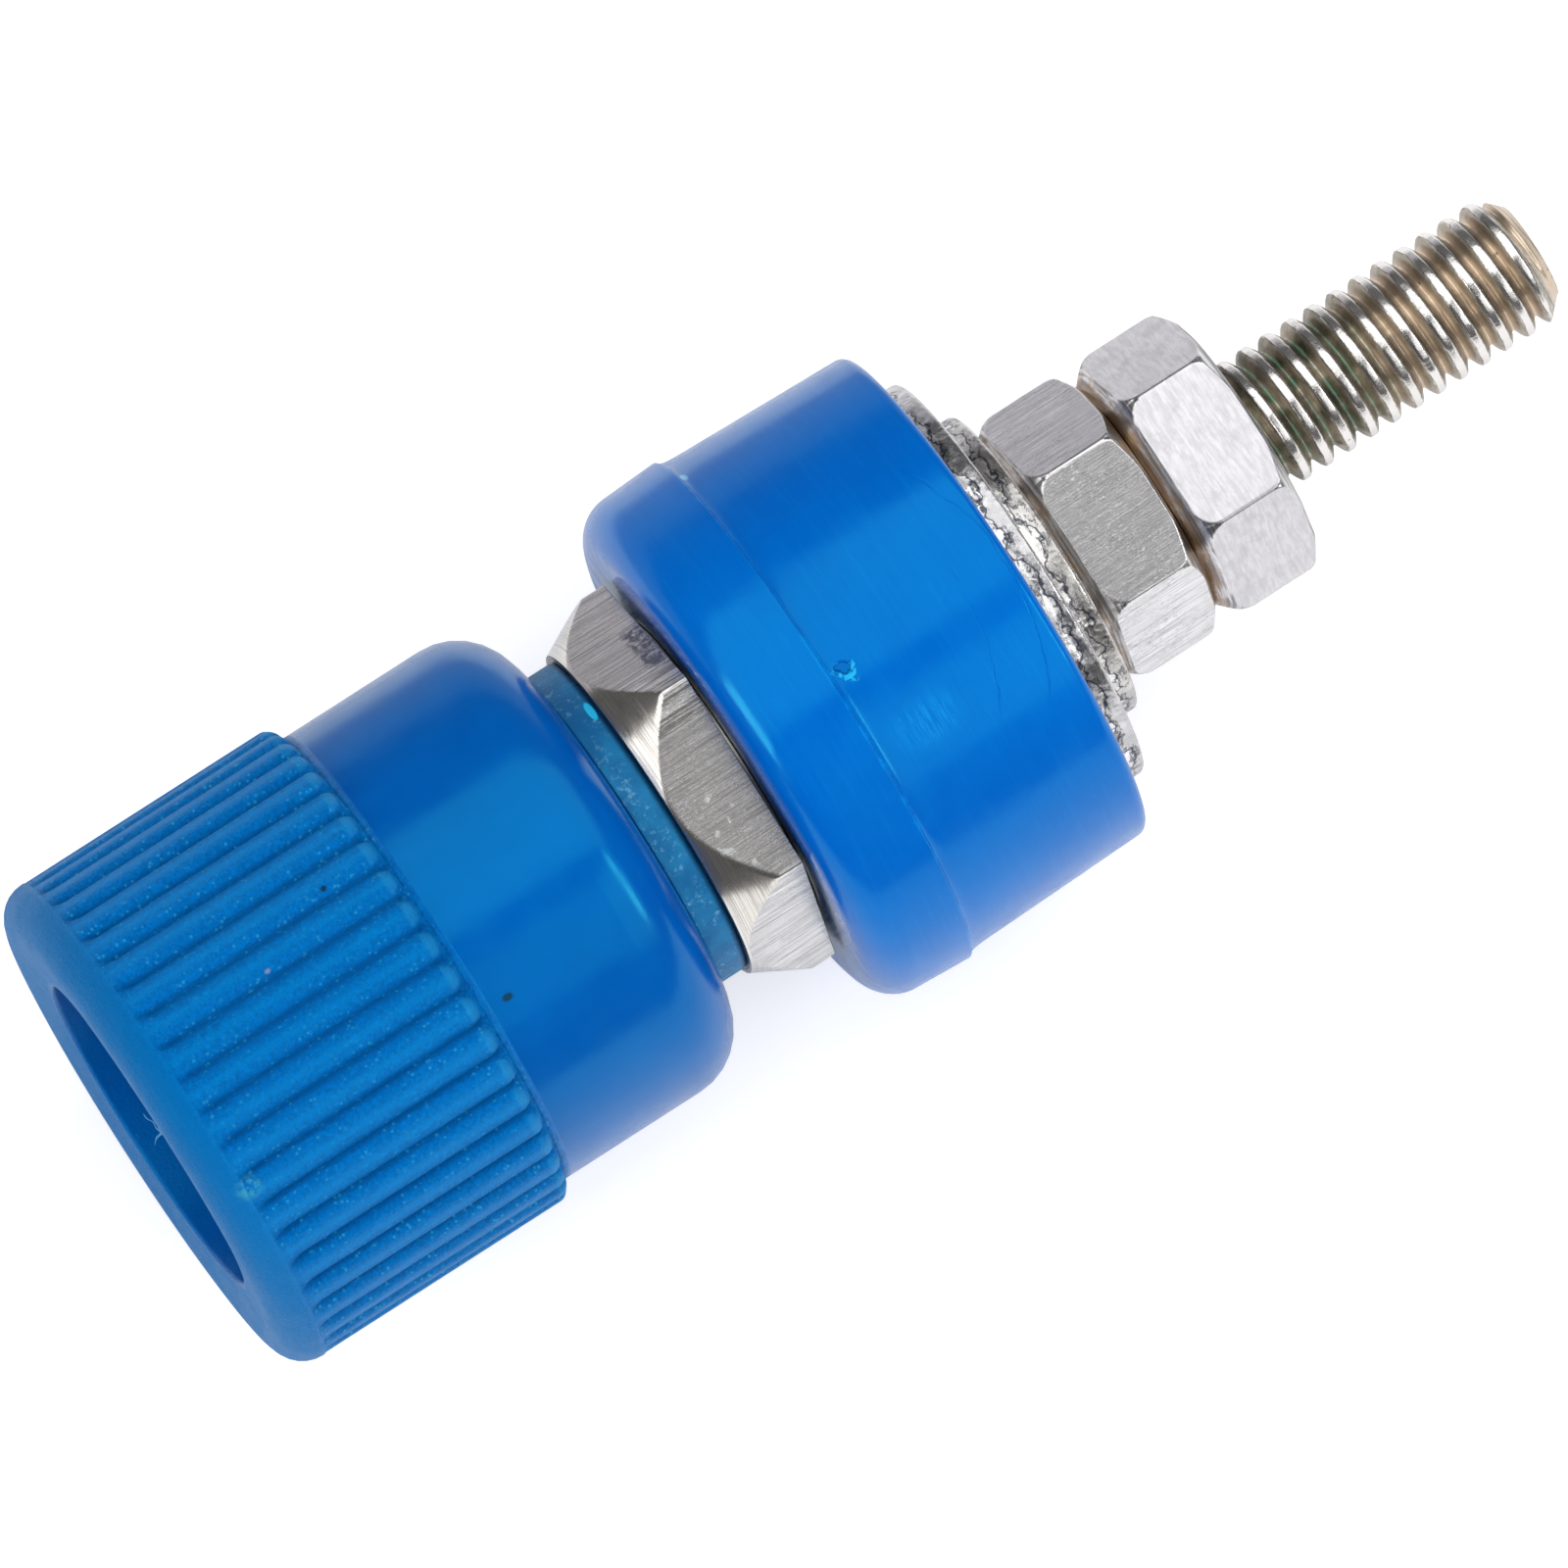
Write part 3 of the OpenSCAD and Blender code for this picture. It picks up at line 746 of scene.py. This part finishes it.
THREAD_START, STUD_R, STUD_PITCH = 3.9, 1.9, 0.7
SEAT_R, CORE_R = 4.475, 1.7
seat = lathe("stem_seat", outline([
    (CORE_R, HEX_REAR - 0.1, 0.0),
    (SEAT_R, HEX_REAR - 0.1, 0.0),
    (SEAT_R, FLANGE_FRONT, 0.03),
    (STUD_R, FLANGE_FRONT, 0.0),
    (STUD_R, THREAD_START + 0.05, 0.0),
    (CORE_R, THREAD_START + 0.05, 0.0),
]), 192)
dress(seat, *STEM, turned)


# %% [markdown]
# The inner nut clamps the panel and the outer one clamps a lug. They are the same M4 nut, but years
# have treated them differently: the inner one is streaked and pitted along the axis, and the outer one
# is smooth with faint marks across. Their faces where they meet the washer and each other are brown,
# partly from grime and partly as painted shade in the narrow gaps.

# %% Nuts
NUT = dict(across_flats=6.85, front_cone=(3.30, 1.1), rear_cone=(3.42, 1.6), inner=1.95, rows=96,
           corner=0.62, slope=0.8, margins=(0.42, 0.08), crease=0.06)


def nut_end(name, rough, grime_and_shade=None):
    return turned_metal(name, STEEL, rough, 10.0, 0.01, grime_and_shade=grime_and_shade)


inner_flat = worn_metal("inner_nut_flat", (0.88, 0.87, 0.88), 0.22, (26, 0.5, 26), pits=0.7,
                        bump=0.0022, low=0.58)
inner_bevel = nut_end("inner_nut_bevel", 0.32, (INNER_AT, 1.0, 0.4, 0.8))
inner_rear = nut_end("inner_nut_rear", 0.30, (INNER_END, -1.0, 0.3, 0.6))
dress(hex_piece("inner_nut_skin", turn=11.7, front=INNER_AT, rear=INNER_END, **NUT),
      "clamp_nut", ["inner_nut"], "plated_steel", inner_flat, inner_bevel, inner_rear, inner_rear)

outer_flat = worn_metal("outer_nut_flat", (0.70, 0.685, 0.71), 0.32, (1.5, 9, 1.5), pits=0.08,
                        bump=0.0008, low=0.86)
outer_bevel = nut_end("outer_nut_bevel", 0.30, (OUTER_AT, 1.0, 0.45, 0.8))
outer_rear = nut_end("outer_nut_rear", 0.28)
dress(hex_piece("outer_nut_skin", turn=4.5, front=OUTER_AT, rear=OUTER_END, **NUT),
      "lug_nut", ["outer_nut"], "plated_steel", outer_flat, outer_bevel, outer_rear, outer_rear)


# %% [markdown]
# ## Threads
# A used thread is rubbed bright on its crests and keeps dull flanks, with stains and green corrosion in
# its roots. One flank is painted browner and dark lines are painted just below the crest edges, as
# painted shade, and the bare roots towards the tip are painted pale as a painted highlight. So its
# finish follows the helix: the place within a pitch is the station in pitches, less the turn round the
# axis. A texture that didn't would cross the crests and hide the thread.

# %% Thread finish
DULL = (0.46, 0.425, 0.37)


def thread_material(name, start, pitch, crest, patina):
    """A worn thread, with painted shade on one flank and below the crest edges and a painted highlight in
    the bare roots. here is the place within a pitch, with 0 in the root, and patina is the green's reach.
    """
    t = Tree(name)
    low, high = patina
    turns = t.minus(t.times(t.minus(t.s, start), 1 / pitch), t.times(t.turn, 1 / (2 * math.pi)))
    grain = t.noise(4.0, 5.0, 0.7)
    here = t.add(t.calc("FRACT", turns), t.ramp(t.noise(1.6, 3.0), 0.3, 0.7, -0.03, 0.03))
    bare = t.ramp(t.s, low + 1.5, high + 1.5)
    root = t.fall(t.radius, crest - 0.33, crest - 0.16)
    ragged = t.add(t.radius, t.ramp(grain, 0.3, 0.7, -0.015, 0.015))
    top = t.ramp(ragged, crest - 0.035, crest - 0.02)

    shade = t.mix(t.ramp(grain, 0.35, 0.68), shaded(DULL, 0.8), shaded(DULL, 1.3))
    # Painted shade: one flank is painted browner and darker.
    shade = t.coat(shade, t.band(here, 0.06, 0.34, 0.05), 0.6, (0.40, 0.33, 0.25))
    # Painted highlight: the bare roots towards the tip are painted pale, for the glints in them.
    shade = t.coat(shade, t.times(root, bare), 0.75, (0.78, 0.64, 0.50))
    shade = t.mix(top, shade, (0.80, 0.775, 0.75))
    # Painted shade: dark lines just below both crest edges.
    painted_shade_lines = t.either(t.band(here, 0.335, 0.35, 0.02), t.times(t.band(here, 0.70, 0.72, 0.02), bare))
    shade = t.coat(shade, painted_shade_lines, 0.6, (0.06, 0.055, 0.05))
    speck = t.times(t.fall(t.cells(2.2), 0.06, 0.14), t.ramp(t.noise(0.9, 2.0), 0.45, 0.6))
    shade = t.coat(shade, speck, 0.8, (0.03, 0.028, 0.025))

    reach = t.times(t.ramp(t.s, low, low + 0.5), t.fall(t.s, high - 2.0, high))
    strip = t.either(t.band(here, 0.0, 0.05, 0.04), t.band(here, 0.97, 1.1, 0.04))
    green = t.times(reach, t.times(strip, t.ramp(t.noise(2.5, 4.0), 0.40, 0.54)))
    stain = t.times(reach, t.times(t.ramp(t.noise(1.3, 3.0), 0.42, 0.6), t.outside(top)))
    shade = t.coat(shade, stain, 0.55, (0.07, 0.09, 0.055))
    shade = t.coat(shade, green, 0.65, (0.06, 0.24, 0.13))
    metal = t.add(1.0, t.times(green, -0.7))
    rough = t.add(t.ramp(grain, 0.3, 0.7, 0.40, 0.32), t.times(top, -0.16))
    return t.finish(color=shade, metal=metal, rough=rough, normal=t.bump(grain, 0.012))


stud_metal = thread_material("stud_metal", THREAD_START, STUD_PITCH, STUD_R, (OUTER_END, OUTER_END + 4.6))


# %% [markdown]
# A thread is a groove on a helix. Rings would look right from one side only, and a grid of straight
# rings would cut across the crests and make them ragged. So the rows climb with the helix, a pitch a
# turn, and each turn joins the next one a pitch's rows further on.

# %% Threads
def thread_radius(angle, s, crest, pitch, start, depth=0.53, flat=0.22, root=0.08):
    """r = crest - depth pitch f, with f over the pitch a flat crest, rounded flanks and a narrow root."""
    place = ((s - start) / pitch - angle / (2 * np.pi)) % 1.0
    flank = np.clip((np.abs(place - 0.5) * 2 - flat) / (1 - flat - root), 0, 1)
    flank = 0.75 * (1 - np.cos(np.pi / 2 * flank)) + 0.25 * flank
    dent = 0.012 * waves(4, angle * 1.9, s, count=20, low=0.3, high=1.6)
    return crest - depth * pitch * flank - np.abs(dent)


def thread(name, crest, pitch, start, end, bevel_start, bevel_end,
           turns=200, rows_per_pitch=16, drill=None, **profile):
    """Rows follow the helix, s = row pitch / rows_per_pitch + pitch angle / 2 pi, and r = thread_radius, cut
    at 45 degrees by bevel_start and bevel_end at its ends. drill is as for lathe."""
    rows = int((end - start) / pitch * rows_per_pitch) + 2 * rows_per_pitch + 2
    angle = np.arange(turns)[:, None] * 2 * np.pi / turns
    s = start - pitch + np.arange(rows)[None] * pitch / rows_per_pitch + pitch * angle / (2 * np.pi)
    faces, _ = grid_faces(turns, rows, False, shift=rows_per_pitch)
    on = s.reshape(-1)[faces]
    faces = faces[(on > start).any(1) & (on < end).any(1)]
    st, angle = np.clip(s, start, end), angle + 0 * s
    r = thread_radius(angle, s, crest, pitch, start, **profile)
    if drill:
        angle, st, inside = drill(r, angle, st)
        r = np.where(inside, thread_radius(angle, st, crest, pitch, start, **profile), r)
        faces = faces[~inside.ravel()[faces].all(1)]
    cone = np.minimum(crest - bevel_start + (st - start), crest - bevel_end + (end - st))
    r = soft_min(r, cone, 0.05)
    r = np.where(s < start, crest - bevel_start, np.where(s > end, crest - bevel_end, r))
    return mesh_object(name, polar(r, angle, st).reshape(-1, 3), faces)


stud = thread("stem_stud", STUD_R, STUD_PITCH, THREAD_START, STUD_END, bevel_start=0.0, bevel_end=0.55)
dress(stud, *STEM, stud_metal)
tip_line = np.array([[r, STUD_END] for r in (1.36, 1.1, 0.6, 0.001)])
dress(lathe("stem_tip", tip_line, 144, closed=False), *STEM, turned)


# %% [markdown]
# ## Socket tube and wire hole
# The threaded tube holds the 4 mm socket, and a cross hole through it takes a wire when the knob is run
# back. A Boolean would leave slivers along the thread. Instead, points of the thread and of the bore
# that fall inside the hole move out to its edge, the faces left inside are dropped, and a wall joins
# the two edges.

# %% Socket tube and wire hole
SOCKET_R, HOLE_R, HOLE_AT, HOLE_TURN = 2.0, 1.1, HEX_FRONT - 2.2, math.radians(HEX_TURN)
TUBE = dict(crest=3.5, pitch=0.75, start=TUBE_FRONT, flat=0.2)


def wire_hole(r, angle, s):
    """Points with u^2 + v^2 < HOLE_R^2, u across the hole's axis and v along the tube, move to its circle."""
    side = HOLE_TURN + np.round((angle - HOLE_TURN) / np.pi) * np.pi
    u, v = r * np.sin(angle - side), s - HOLE_AT
    away = np.hypot(u, v)
    inside = away < HOLE_R
    grow = np.where(inside, HOLE_R / np.maximum(away, 1e-6), 1.0)
    edge = side + np.arcsin(np.clip(u * grow / r, -1, 1))
    return np.where(inside, edge, angle), np.where(inside, HOLE_AT + v * grow, s), inside


def hole_wall(name, way, turns=160, rows=12):
    """The hole's wall on one side: P = way (h d + u e) + s along the axis, with d along the hole, e across it,
    and h from the bore out to the thread, which four rounds of a fixed-point search find."""
    phi = np.arange(turns)[:, None] * 2 * np.pi / turns
    u, s = HOLE_R * np.cos(phi), HOLE_AT + HOLE_R * np.sin(phi)
    outer = np.sqrt(3.3**2 - u**2)
    for _ in range(4):
        angle = HOLE_TURN + np.arctan2(u, outer) + (0 if way > 0 else np.pi)
        outer = np.sqrt(thread_radius(angle % (2 * np.pi), s, **TUBE) ** 2 - u**2)
    inner = np.sqrt(SOCKET_R**2 - u**2)
    h = inner + (outer - inner) * np.linspace(1, 0, rows)[None]
    x = way * (h * math.sin(HOLE_TURN) + u * math.cos(HOLE_TURN))
    z = way * (h * math.cos(HOLE_TURN) - u * math.sin(HOLE_TURN))
    faces, _ = grid_faces(turns, rows, False)
    return mesh_object(name, np.stack([x, s + 0 * h, z], -1).reshape(-1, 3), faces)


tube_metal = worn_metal("tube_metal", NICKEL, 0.34, (2, 8, 2), pits=0.2)
tube = thread("stem_tube", end=HEX_FRONT + 0.02, bevel_start=0.35, bevel_end=0.0, drill=wire_hole, **TUBE)
dress(tube, *STEM, tube_metal)
socket_line = outline([
    (3.16, TUBE_FRONT, 0.0),
    (SOCKET_R, TUBE_FRONT, 0.25),
    (SOCKET_R, HEX_FRONT + 0.8, 0.0),
    (0.001, HEX_FRONT + 1.2, 0.0),
], closed=False)
socket_line = refined(socket_line, 0.14, closed=False)[::-1]
socket = lathe("stem_socket", socket_line, 192, closed=False, drill=wire_hole)
dress(socket, *STEM, turned)
for name, way in (("wire_hole_upper", 1), ("wire_hole_lower", -1)):
    dress(hole_wall(name, way), *STEM, turned)


# %% [markdown]
# ## Insulators
# Two mouldings keep the stem off the panel: a flange with a spigot that lines the panel's hole, and a
# ring behind the panel that takes the spigot in. Their finish is the cap's gloss, with what handling
# has left: rubbed hairlines, a scuffed patch, long curved scratches, and a dimple with chipped edges.

# %% Insulator finish
FLANGE_R, REAR_R = 7.64, 7.60


def scratches(t, degrees):
    """Two curved cuts, each the parabola s = top + bow (degrees - 5.7)^2 that wanders a little."""
    cuts = 0
    for top, bow, first, last in ((5.5, -0.0011, -20.0, 31.0), (4.15, -0.0014, 4.0, 29.0)):
        along = t.minus(degrees, 5.7)
        path = t.add(t.times(t.times(along, along), bow), top)
        wander = t.add(t.minus(t.s, path), t.ramp(t.noise(1.0, 3.0), 0.3, 0.7, -0.06, 0.06))
        line = t.times(t.band(wander, -0.008, 0.008, 0.03), t.band(degrees, first, last, 6.0))
        cuts = t.either(cuts, t.times(line, t.ramp(t.noise(0.8, 2.0), 0.35, 0.6, 0.3, 1.0)))
    return cuts


def dimple(t, color):
    """A crater beside the seam, painted darker inside as painted shade, its lip chipped pale on one side: the
    colour with it, and its height.
    """
    away = t.vector("DISTANCE", t.place, on_side(REAR_R, 6.3, 0.45))
    away = t.add(away, t.ramp(t.noise(1.6, 3.0), 0.3, 0.7, -0.14, 0.14))
    crater = t.fall(away, 0.10, 0.24)
    flakes = t.ramp(t.noise(4.5, 3.0, 0.7), 0.45, 0.55)
    one_side = t.ramp(t.add(t.x, t.times(t.noise(1.5, 2.0), 0.6)), 0.9, 1.2)
    lip = t.times(t.band(away, 0.20, 0.36, 0.07), t.times(flakes, one_side))
    color = t.coat(color, lip, 0.7, (0.02, 0.48, 0.90))
    # Painted shade: the crater's hollow is painted darker.
    color = t.coat(color, crater, 0.5, (0.0, 0.06, 0.35))
    return color, t.add(t.times(lip, 0.4), t.outside(crater))


def insulator_material():
    """Rubbed hairlines, a scuffed patch, scratches, a nick, and a dimple and flash on the seam, with painted
    shade in the gap by the hexagon.
    """
    t = Tree("insulator_blue")
    color, rough, normal = moulding(t, *INSULATOR_BLUES)
    degrees = t.calc("DEGREES", t.turn)
    round_axis = t.join(t.times(t.turn, 2.0), t.times(t.s, 7.0), 0.0)
    rings = t.ramp(t.noise(1.0, 5.0, 0.75, vector=round_axis), 0.45, 0.75)
    color = t.coat(color, rings, 0.08, (0.01, 0.34, 0.85))
    brushed = t.ramp(t.noise(1.0, 6.0, 0.8, stretch=(1.2, 9, 1.2)), 0.35, 0.65)
    scuff = t.times(t.spot(REAR_R, 24.0, 1.6, 1.45, 0.8, (1.5, 1, 1.5)), brushed)
    color = t.coat(color, scuff, 0.30, (0.012, 0.36, 0.88))
    rough = t.add(rough, t.times(scuff, 0.15))
    # Painted shade: the face beside the hexagon is painted dark, for the shade in the gap between them.
    painted_gap_shade = t.times(t.fall(t.radius, 5.5, 6.1), t.fall(t.s, FLANGE_FRONT + 0.05, FLANGE_FRONT + 0.2))
    color = t.coat(color, painted_gap_shade, 0.85, (0.0, 0.02, 0.10))
    cuts = scratches(t, degrees)
    color = t.coat(color, cuts, 0.45, (0.0, 0.07, 0.40))
    nick = t.spot(REAR_R, -56.0, 0.12, 0.3, 0.5, (1, 2.5, 1))
    color = t.coat(color, nick, 0.6, (0.25, 0.65, 0.95))
    seam = t.times(t.band(t.s, -0.05, 0.03, 0.05), t.ramp(t.noise(1.1, 4.0, 0.7), 0.45, 0.62))
    flash = t.times(t.ramp(t.radius, 7.3, 7.45), seam)
    color = t.coat(color, flash, 0.25, (0.0, 0.32, 0.85))
    color, height = dimple(t, color)
    normal = t.bump(height, 0.06, t.bump(t.outside(cuts), 0.008, normal))
    return t.finish(color=color, rough=rough, normal=normal, **PLASTIC)


insulator_blue = insulator_material()


# %% [markdown]
# Both shapes are turned. A mould's draft makes them taper by a few degrees, so that they come out of
# it, and the rear ring starts a tenth of a millimetre narrower than the flange, which draws the seam
# between them as a fine step.

# %% Insulators
def front_insulator():
    """Outline of the flange, its front edge rounded over 1.15 mm, and of the spigot behind it."""
    stem_r, spigot_r = 2.15, 4.0
    front_r = FLANGE_R + FLANGE_FRONT * math.tan(math.radians(3))
    return outline([
        (stem_r, FLANGE_FRONT, 0.1),
        (front_r, FLANGE_FRONT, 1.15),
        (FLANGE_R, 0, 0.04),
        (spigot_r, 0, 0.1),
        (spigot_r, SPIGOT_END, 0.25),
        (stem_r, SPIGOT_END, 0.1),
    ], steps=12)


def rear_insulator():
    """Outline of the ring: r = REAR_R - 0.11 (1 - exp(-s / 0.14)) - s tan 1.6 degrees, and its counterbore."""
    stem_r, counterbore_r, counterbore_end = 2.15, 4.08, 4.5
    at = [0.04, 0.08, 0.14, 0.22, 0.32, 0.45, *np.linspace(0.6, REAR_END - 0.7, 20), REAR_END]
    at = np.array(at)
    flare = REAR_R - 0.11 * (1 - np.exp(-at / 0.14)) - at * math.tan(math.radians(1.6))
    side = [(r, s, 0.0) for r, s in zip(flare[:-1], at[:-1])]
    return outline([
        (counterbore_r, 0, 0.15),
        (REAR_R, 0, 0.0),
        *side,
        (flare[-1], REAR_END, 0.28),
        (stem_r, REAR_END, 0.1),
        (stem_r, counterbore_end, 0.0),
        (counterbore_r, counterbore_end, 0.1),
    ], steps=8)


front_skin = lathe("front_insulator_skin", front_insulator(), 360)
dress(front_skin, "post", ["front_insulator"], "insulator_blue", insulator_blue)
rear_skin = lathe("rear_insulator_skin", rear_insulator(), 360)
dress(rear_skin, "rear_stack", ["rear_insulator"], "insulator_blue", insulator_blue)


# %% [markdown]
# ## Washers
# A washer is punched from sheet. The punch shears the first part of its edge clean and tears the rest,
# so the edge is part mirror and part chips and dark cracks. The large lumps are in the mesh, because
# they show in its outline. The finest chips are in the colour and the bump.

# %% Washers
def washer_material(name, rear, radius, torn, burnish, bright):
    """A chrome-bright washer, its edge torn from torn to burnish before its rear face."""
    t = Tree(name)
    warp = t.noise(1.2, 3.0, 0.6)
    chips = t.noise(1.0, 6.0, 0.78, stretch=(2.0, 3.4, 2.0), warp=0.8)
    edge = t.ramp(t.radius, radius - 0.3, radius - 0.15)
    line = t.add(t.s, t.ramp(warp, 0.3, 0.7, -0.20, 0.20))
    begins = t.ramp(line, rear - torn - 0.04, rear - torn + 0.04)
    rip = t.times(edge, t.times(begins, t.fall(line, rear - burnish - 0.04, rear - burnish + 0.04)))
    crack = t.times(t.ramp(chips, 0.50, 0.55), t.ramp(chips, 0.58, 0.64, 1.0, 0.25))
    shade = t.mix(t.ramp(t.noise(1.6, 4.0, 0.6), 0.4, 0.65), shaded(bright, 0.72), bright)
    shade = t.mix(t.times(t.add(t.times(rip, 0.8), 0.06), crack), shade, (0.035, 0.04, 0.055))
    shade = t.coat(shade, t.ramp(t.noise(2.6, 5.0, 0.75), 0.60, 0.70), 0.4, (0.08, 0.08, 0.10))
    torn_half = t.times(edge, t.ramp(line, rear - 0.44, rear - 0.40))
    shade = t.coat(shade, torn_half, 0.35, (0.20, 0.19, 0.19))
    long_crack = t.times(edge, t.band(line, rear - 0.44, rear - 0.40, 0.03))
    shade = t.coat(shade, long_crack, 0.85, (0.03, 0.035, 0.06))
    rough = t.add(t.ramp(chips, 0.3, 0.7, 0.16, 0.3), t.times(rip, 0.06))
    normal = t.bump(chips, 0.012, t.bump(t.times(edge, warp), 0.05))
    return t.finish(color=shade, metal=1.0, rough=rough, normal=normal)


def washer(node, seed, rough_at, edge=0.12, bore_r=2.15):
    """A washer's outline turned round the axis, with r less dents of up to 0.08 mm from rough_at to the rear
    face: lumps of about 1 mm and grains of a third of that."""
    radius, front, rear = span(node)
    line = outline([(bore_r, front, 0.04), (radius, front, edge), (radius, rear, edge), (bore_r, rear, 0.04)])

    def bend(angle, r, s):
        edge_on = np.clip((r - radius + 0.25) / 0.15, 0, 1)
        x, z = radius * np.sin(angle), radius * np.cos(angle)
        ragged = s + 0.12 * waves(seed, x, z, count=10, low=0.1, high=0.5)
        torn = np.clip((ragged - rough_at) / 0.08, 0, 1)
        lumps = waves(seed + 1, x, z, 1.5 * s, count=24, low=0.4, high=1.6)
        grains = np.abs(waves(seed + 2, x, z, s, count=24, low=1.5, high=4.0))
        dent = torn * (0.016 * (1 + lumps) + 0.006 * grains) + 0.0015 * grains
        return -edge_on * np.clip(dent, 0, 0.08), 0 * s

    line = refined(line, 0.05)
    r, from_end = line[:, 0], np.minimum(np.abs(line[:, 1] - front), np.abs(line[:, 1] - rear))
    needed = (r > radius - 0.35) | ((r < bore_r + 0.05) & (from_end < 0.045))
    return lathe(node + "_skin", line[needed], 1200, bend=bend)


large_r, _, large_end = span("large_washer")
large_metal = washer_material("large_washer_metal", large_end, large_r, 0.62, 0.26, (0.95, 0.95, 0.97))
large = washer("large_washer", 11, large_end - 0.5)
dress(large, "rear_stack", ["large_washer"], "plated_steel", large_metal)
small_r, small_at, small_end = span("small_washer")
small_metal = washer_material("small_washer_metal", small_end, small_r, 0.66, 0.14, (0.90, 0.88, 0.85))
small = washer("small_washer", 21, small_at + 0.2)
dress(small, "rear_stack", ["small_washer"], "plated_steel", small_metal)


# %% [markdown]
# ## Stage
# The post lies on a sheet of white paper. More light would turn the paper white, but would bleach the
# post too. So the paper glows a little, for the camera and, more weakly, for the metal that mirrors it.
# A dark felt flag beside the post shows only in reflections, which gives the metal its dark sides.

# %% Floor and flag
scene = bpy.context.scene
scene.view_settings.view_transform = "Standard"


def sheet(name, left, right, half, height):
    """A flat rectangle, in metres, that is part of the stage and not of the post."""
    mesh = bpy.data.meshes.new(name)
    corners = [(left, -half, 0), (right, -half, 0), (right, half, 0), (left, half, 0)]
    mesh.from_pydata(corners, [], [(0, 1, 2, 3)])
    flat = bpy.data.objects.new(name, mesh)
    flat.location.z = height
    scene.collection.objects.link(flat)
    return flat


floor = sheet("floor", -1.5, 1.5, 1.5, cad_low.z - 0.00002)
paper = Tree("paper")
rays = paper.tree.nodes.new("ShaderNodeLightPath")
seen = paper.add(rays.outputs["Is Camera Ray"], paper.times(rays.outputs["Is Glossy Ray"], 0.2))
paper_color = paper.mix(paper.noise(0.02), (0.82, 0.82, 0.83), (0.86, 0.86, 0.87))
floor.data.materials.append(paper.finish(
    color=paper_color, rough=0.9, glow=(1.0, 1.0, 1.0), glow_level=paper.times(seen, 0.42)))

flag = sheet("flag", -0.9, -0.022, 0.9, cad_low.z + 0.0001)
flag.visible_camera = flag.visible_diffuse = flag.visible_shadow = flag.visible_transmission = False
felt = Tree("felt")
felt_color = felt.mix(felt.noise(0.02), (0.38, 0.37, 0.40), (0.46, 0.45, 0.48))
flag.data.materials.append(felt.finish(color=felt_color, rough=1.0))


# %% [markdown]
# ## Camera
# The camera stands nearly above the post, well back and with a long lens, as for a catalogue: from
# there the near and the far end are shown at almost the same scale. It is turned so that the post lies
# across the frame from lower left to upper right.

# %% Camera
ELEVATION, HEADING = math.radians(78.44), math.atan2(0.5475, -0.8368)
DISTANCE = 0.78
ahead = Vector((math.cos(HEADING) * math.cos(ELEVATION), math.sin(HEADING) * math.cos(ELEVATION),
                -math.sin(ELEVATION)))
facing = ahead.to_track_quat("-Z", "Y")
right, up = facing @ Vector((1, 0, 0)), facing @ Vector((0, 1, 0))
aim = Vector((0, -1.03, 0)) * MM + right * 0.138 * MM - up * 1.37 * MM
camera = bpy.data.objects.new("camera", bpy.data.cameras.new("camera"))
camera.data.lens, camera.data.sensor_width = 688, 36
camera.data.clip_start, camera.data.clip_end = 0.01, 10
camera.location = aim - ahead * DISTANCE
camera.rotation_mode = "QUATERNION"
camera.rotation_quaternion = facing
scene.collection.objects.link(camera)
scene.camera = camera
print("camera looks along", [round(v, 4) for v in ahead])


# %% [markdown]
# ## Lights
# On a shiny turned piece each lamp shows as a band along the axis, and its edges are what the eye reads
# as gloss. So each lamp is a rectangle set by the angles at which the post sees it. Two broad ones light
# the upper and the lower side, one beyond the knob makes its rim shine, a narrow one at the rear gives
# the nuts their glints, and a last one fills the lower side without being mirrored.

# %% Lights
CAMERA_SIDE = math.radians(9.7)


def panel(name, around, along, level, mirrored=True, distance=0.5):
    """A soft lamp that spans the angles around the axis, from the camera's side, and along it, in degrees."""
    low_a, high_a = (math.radians(a) + CAMERA_SIDE for a in around)
    low_s, high_s = (math.radians(a) for a in along)
    a, b = (low_a + high_a) / 2, (low_s + high_s) / 2
    z = Vector((math.sin(a) * math.cos(b), math.sin(b), math.cos(a) * math.cos(b)))
    x = Vector((-math.sin(a) * math.sin(b), math.cos(b), -math.cos(a) * math.sin(b)))
    height = 2 * distance * math.tan((high_a - low_a) / 2)
    width = 2 * distance * math.tan((high_s - low_s) / 2)
    light = bpy.data.objects.new(name, bpy.data.lights.new(name, "AREA"))
    light.data.shape, light.data.size, light.data.size_y = "RECTANGLE", width, height * math.cos(b)
    light.data.energy = level * math.pi * light.data.size * light.data.size_y
    light.matrix_world = Matrix.Translation(z * distance) @ Matrix((x, z.cross(x), z)).transposed().to_4x4()
    light.visible_glossy = mirrored
    scene.collection.objects.link(light)
    print(name, "is", round(width, 2), "by", round(light.data.size_y, 2), "m, at level", level)


panel("upper_panel", (-54, -1), (-57, 57), 1.5)
panel("lower_panel", (10, 50), (4, 50), 1.15)
panel("front_panel", (-50, 10), (-78, -58), 6.5)
panel("rear_strip", (5, 45), (39, 45), 7.0)
panel("fill", (10, 70), (-40, 40), 1.2, mirrored=False)

world = bpy.data.worlds.new("World")
scene.world = world
world.use_nodes = True
background = world.node_tree.nodes["Background"]
background.inputs["Color"].default_value = (1, 1, 1, 1)
background.inputs["Strength"].default_value = 0.12
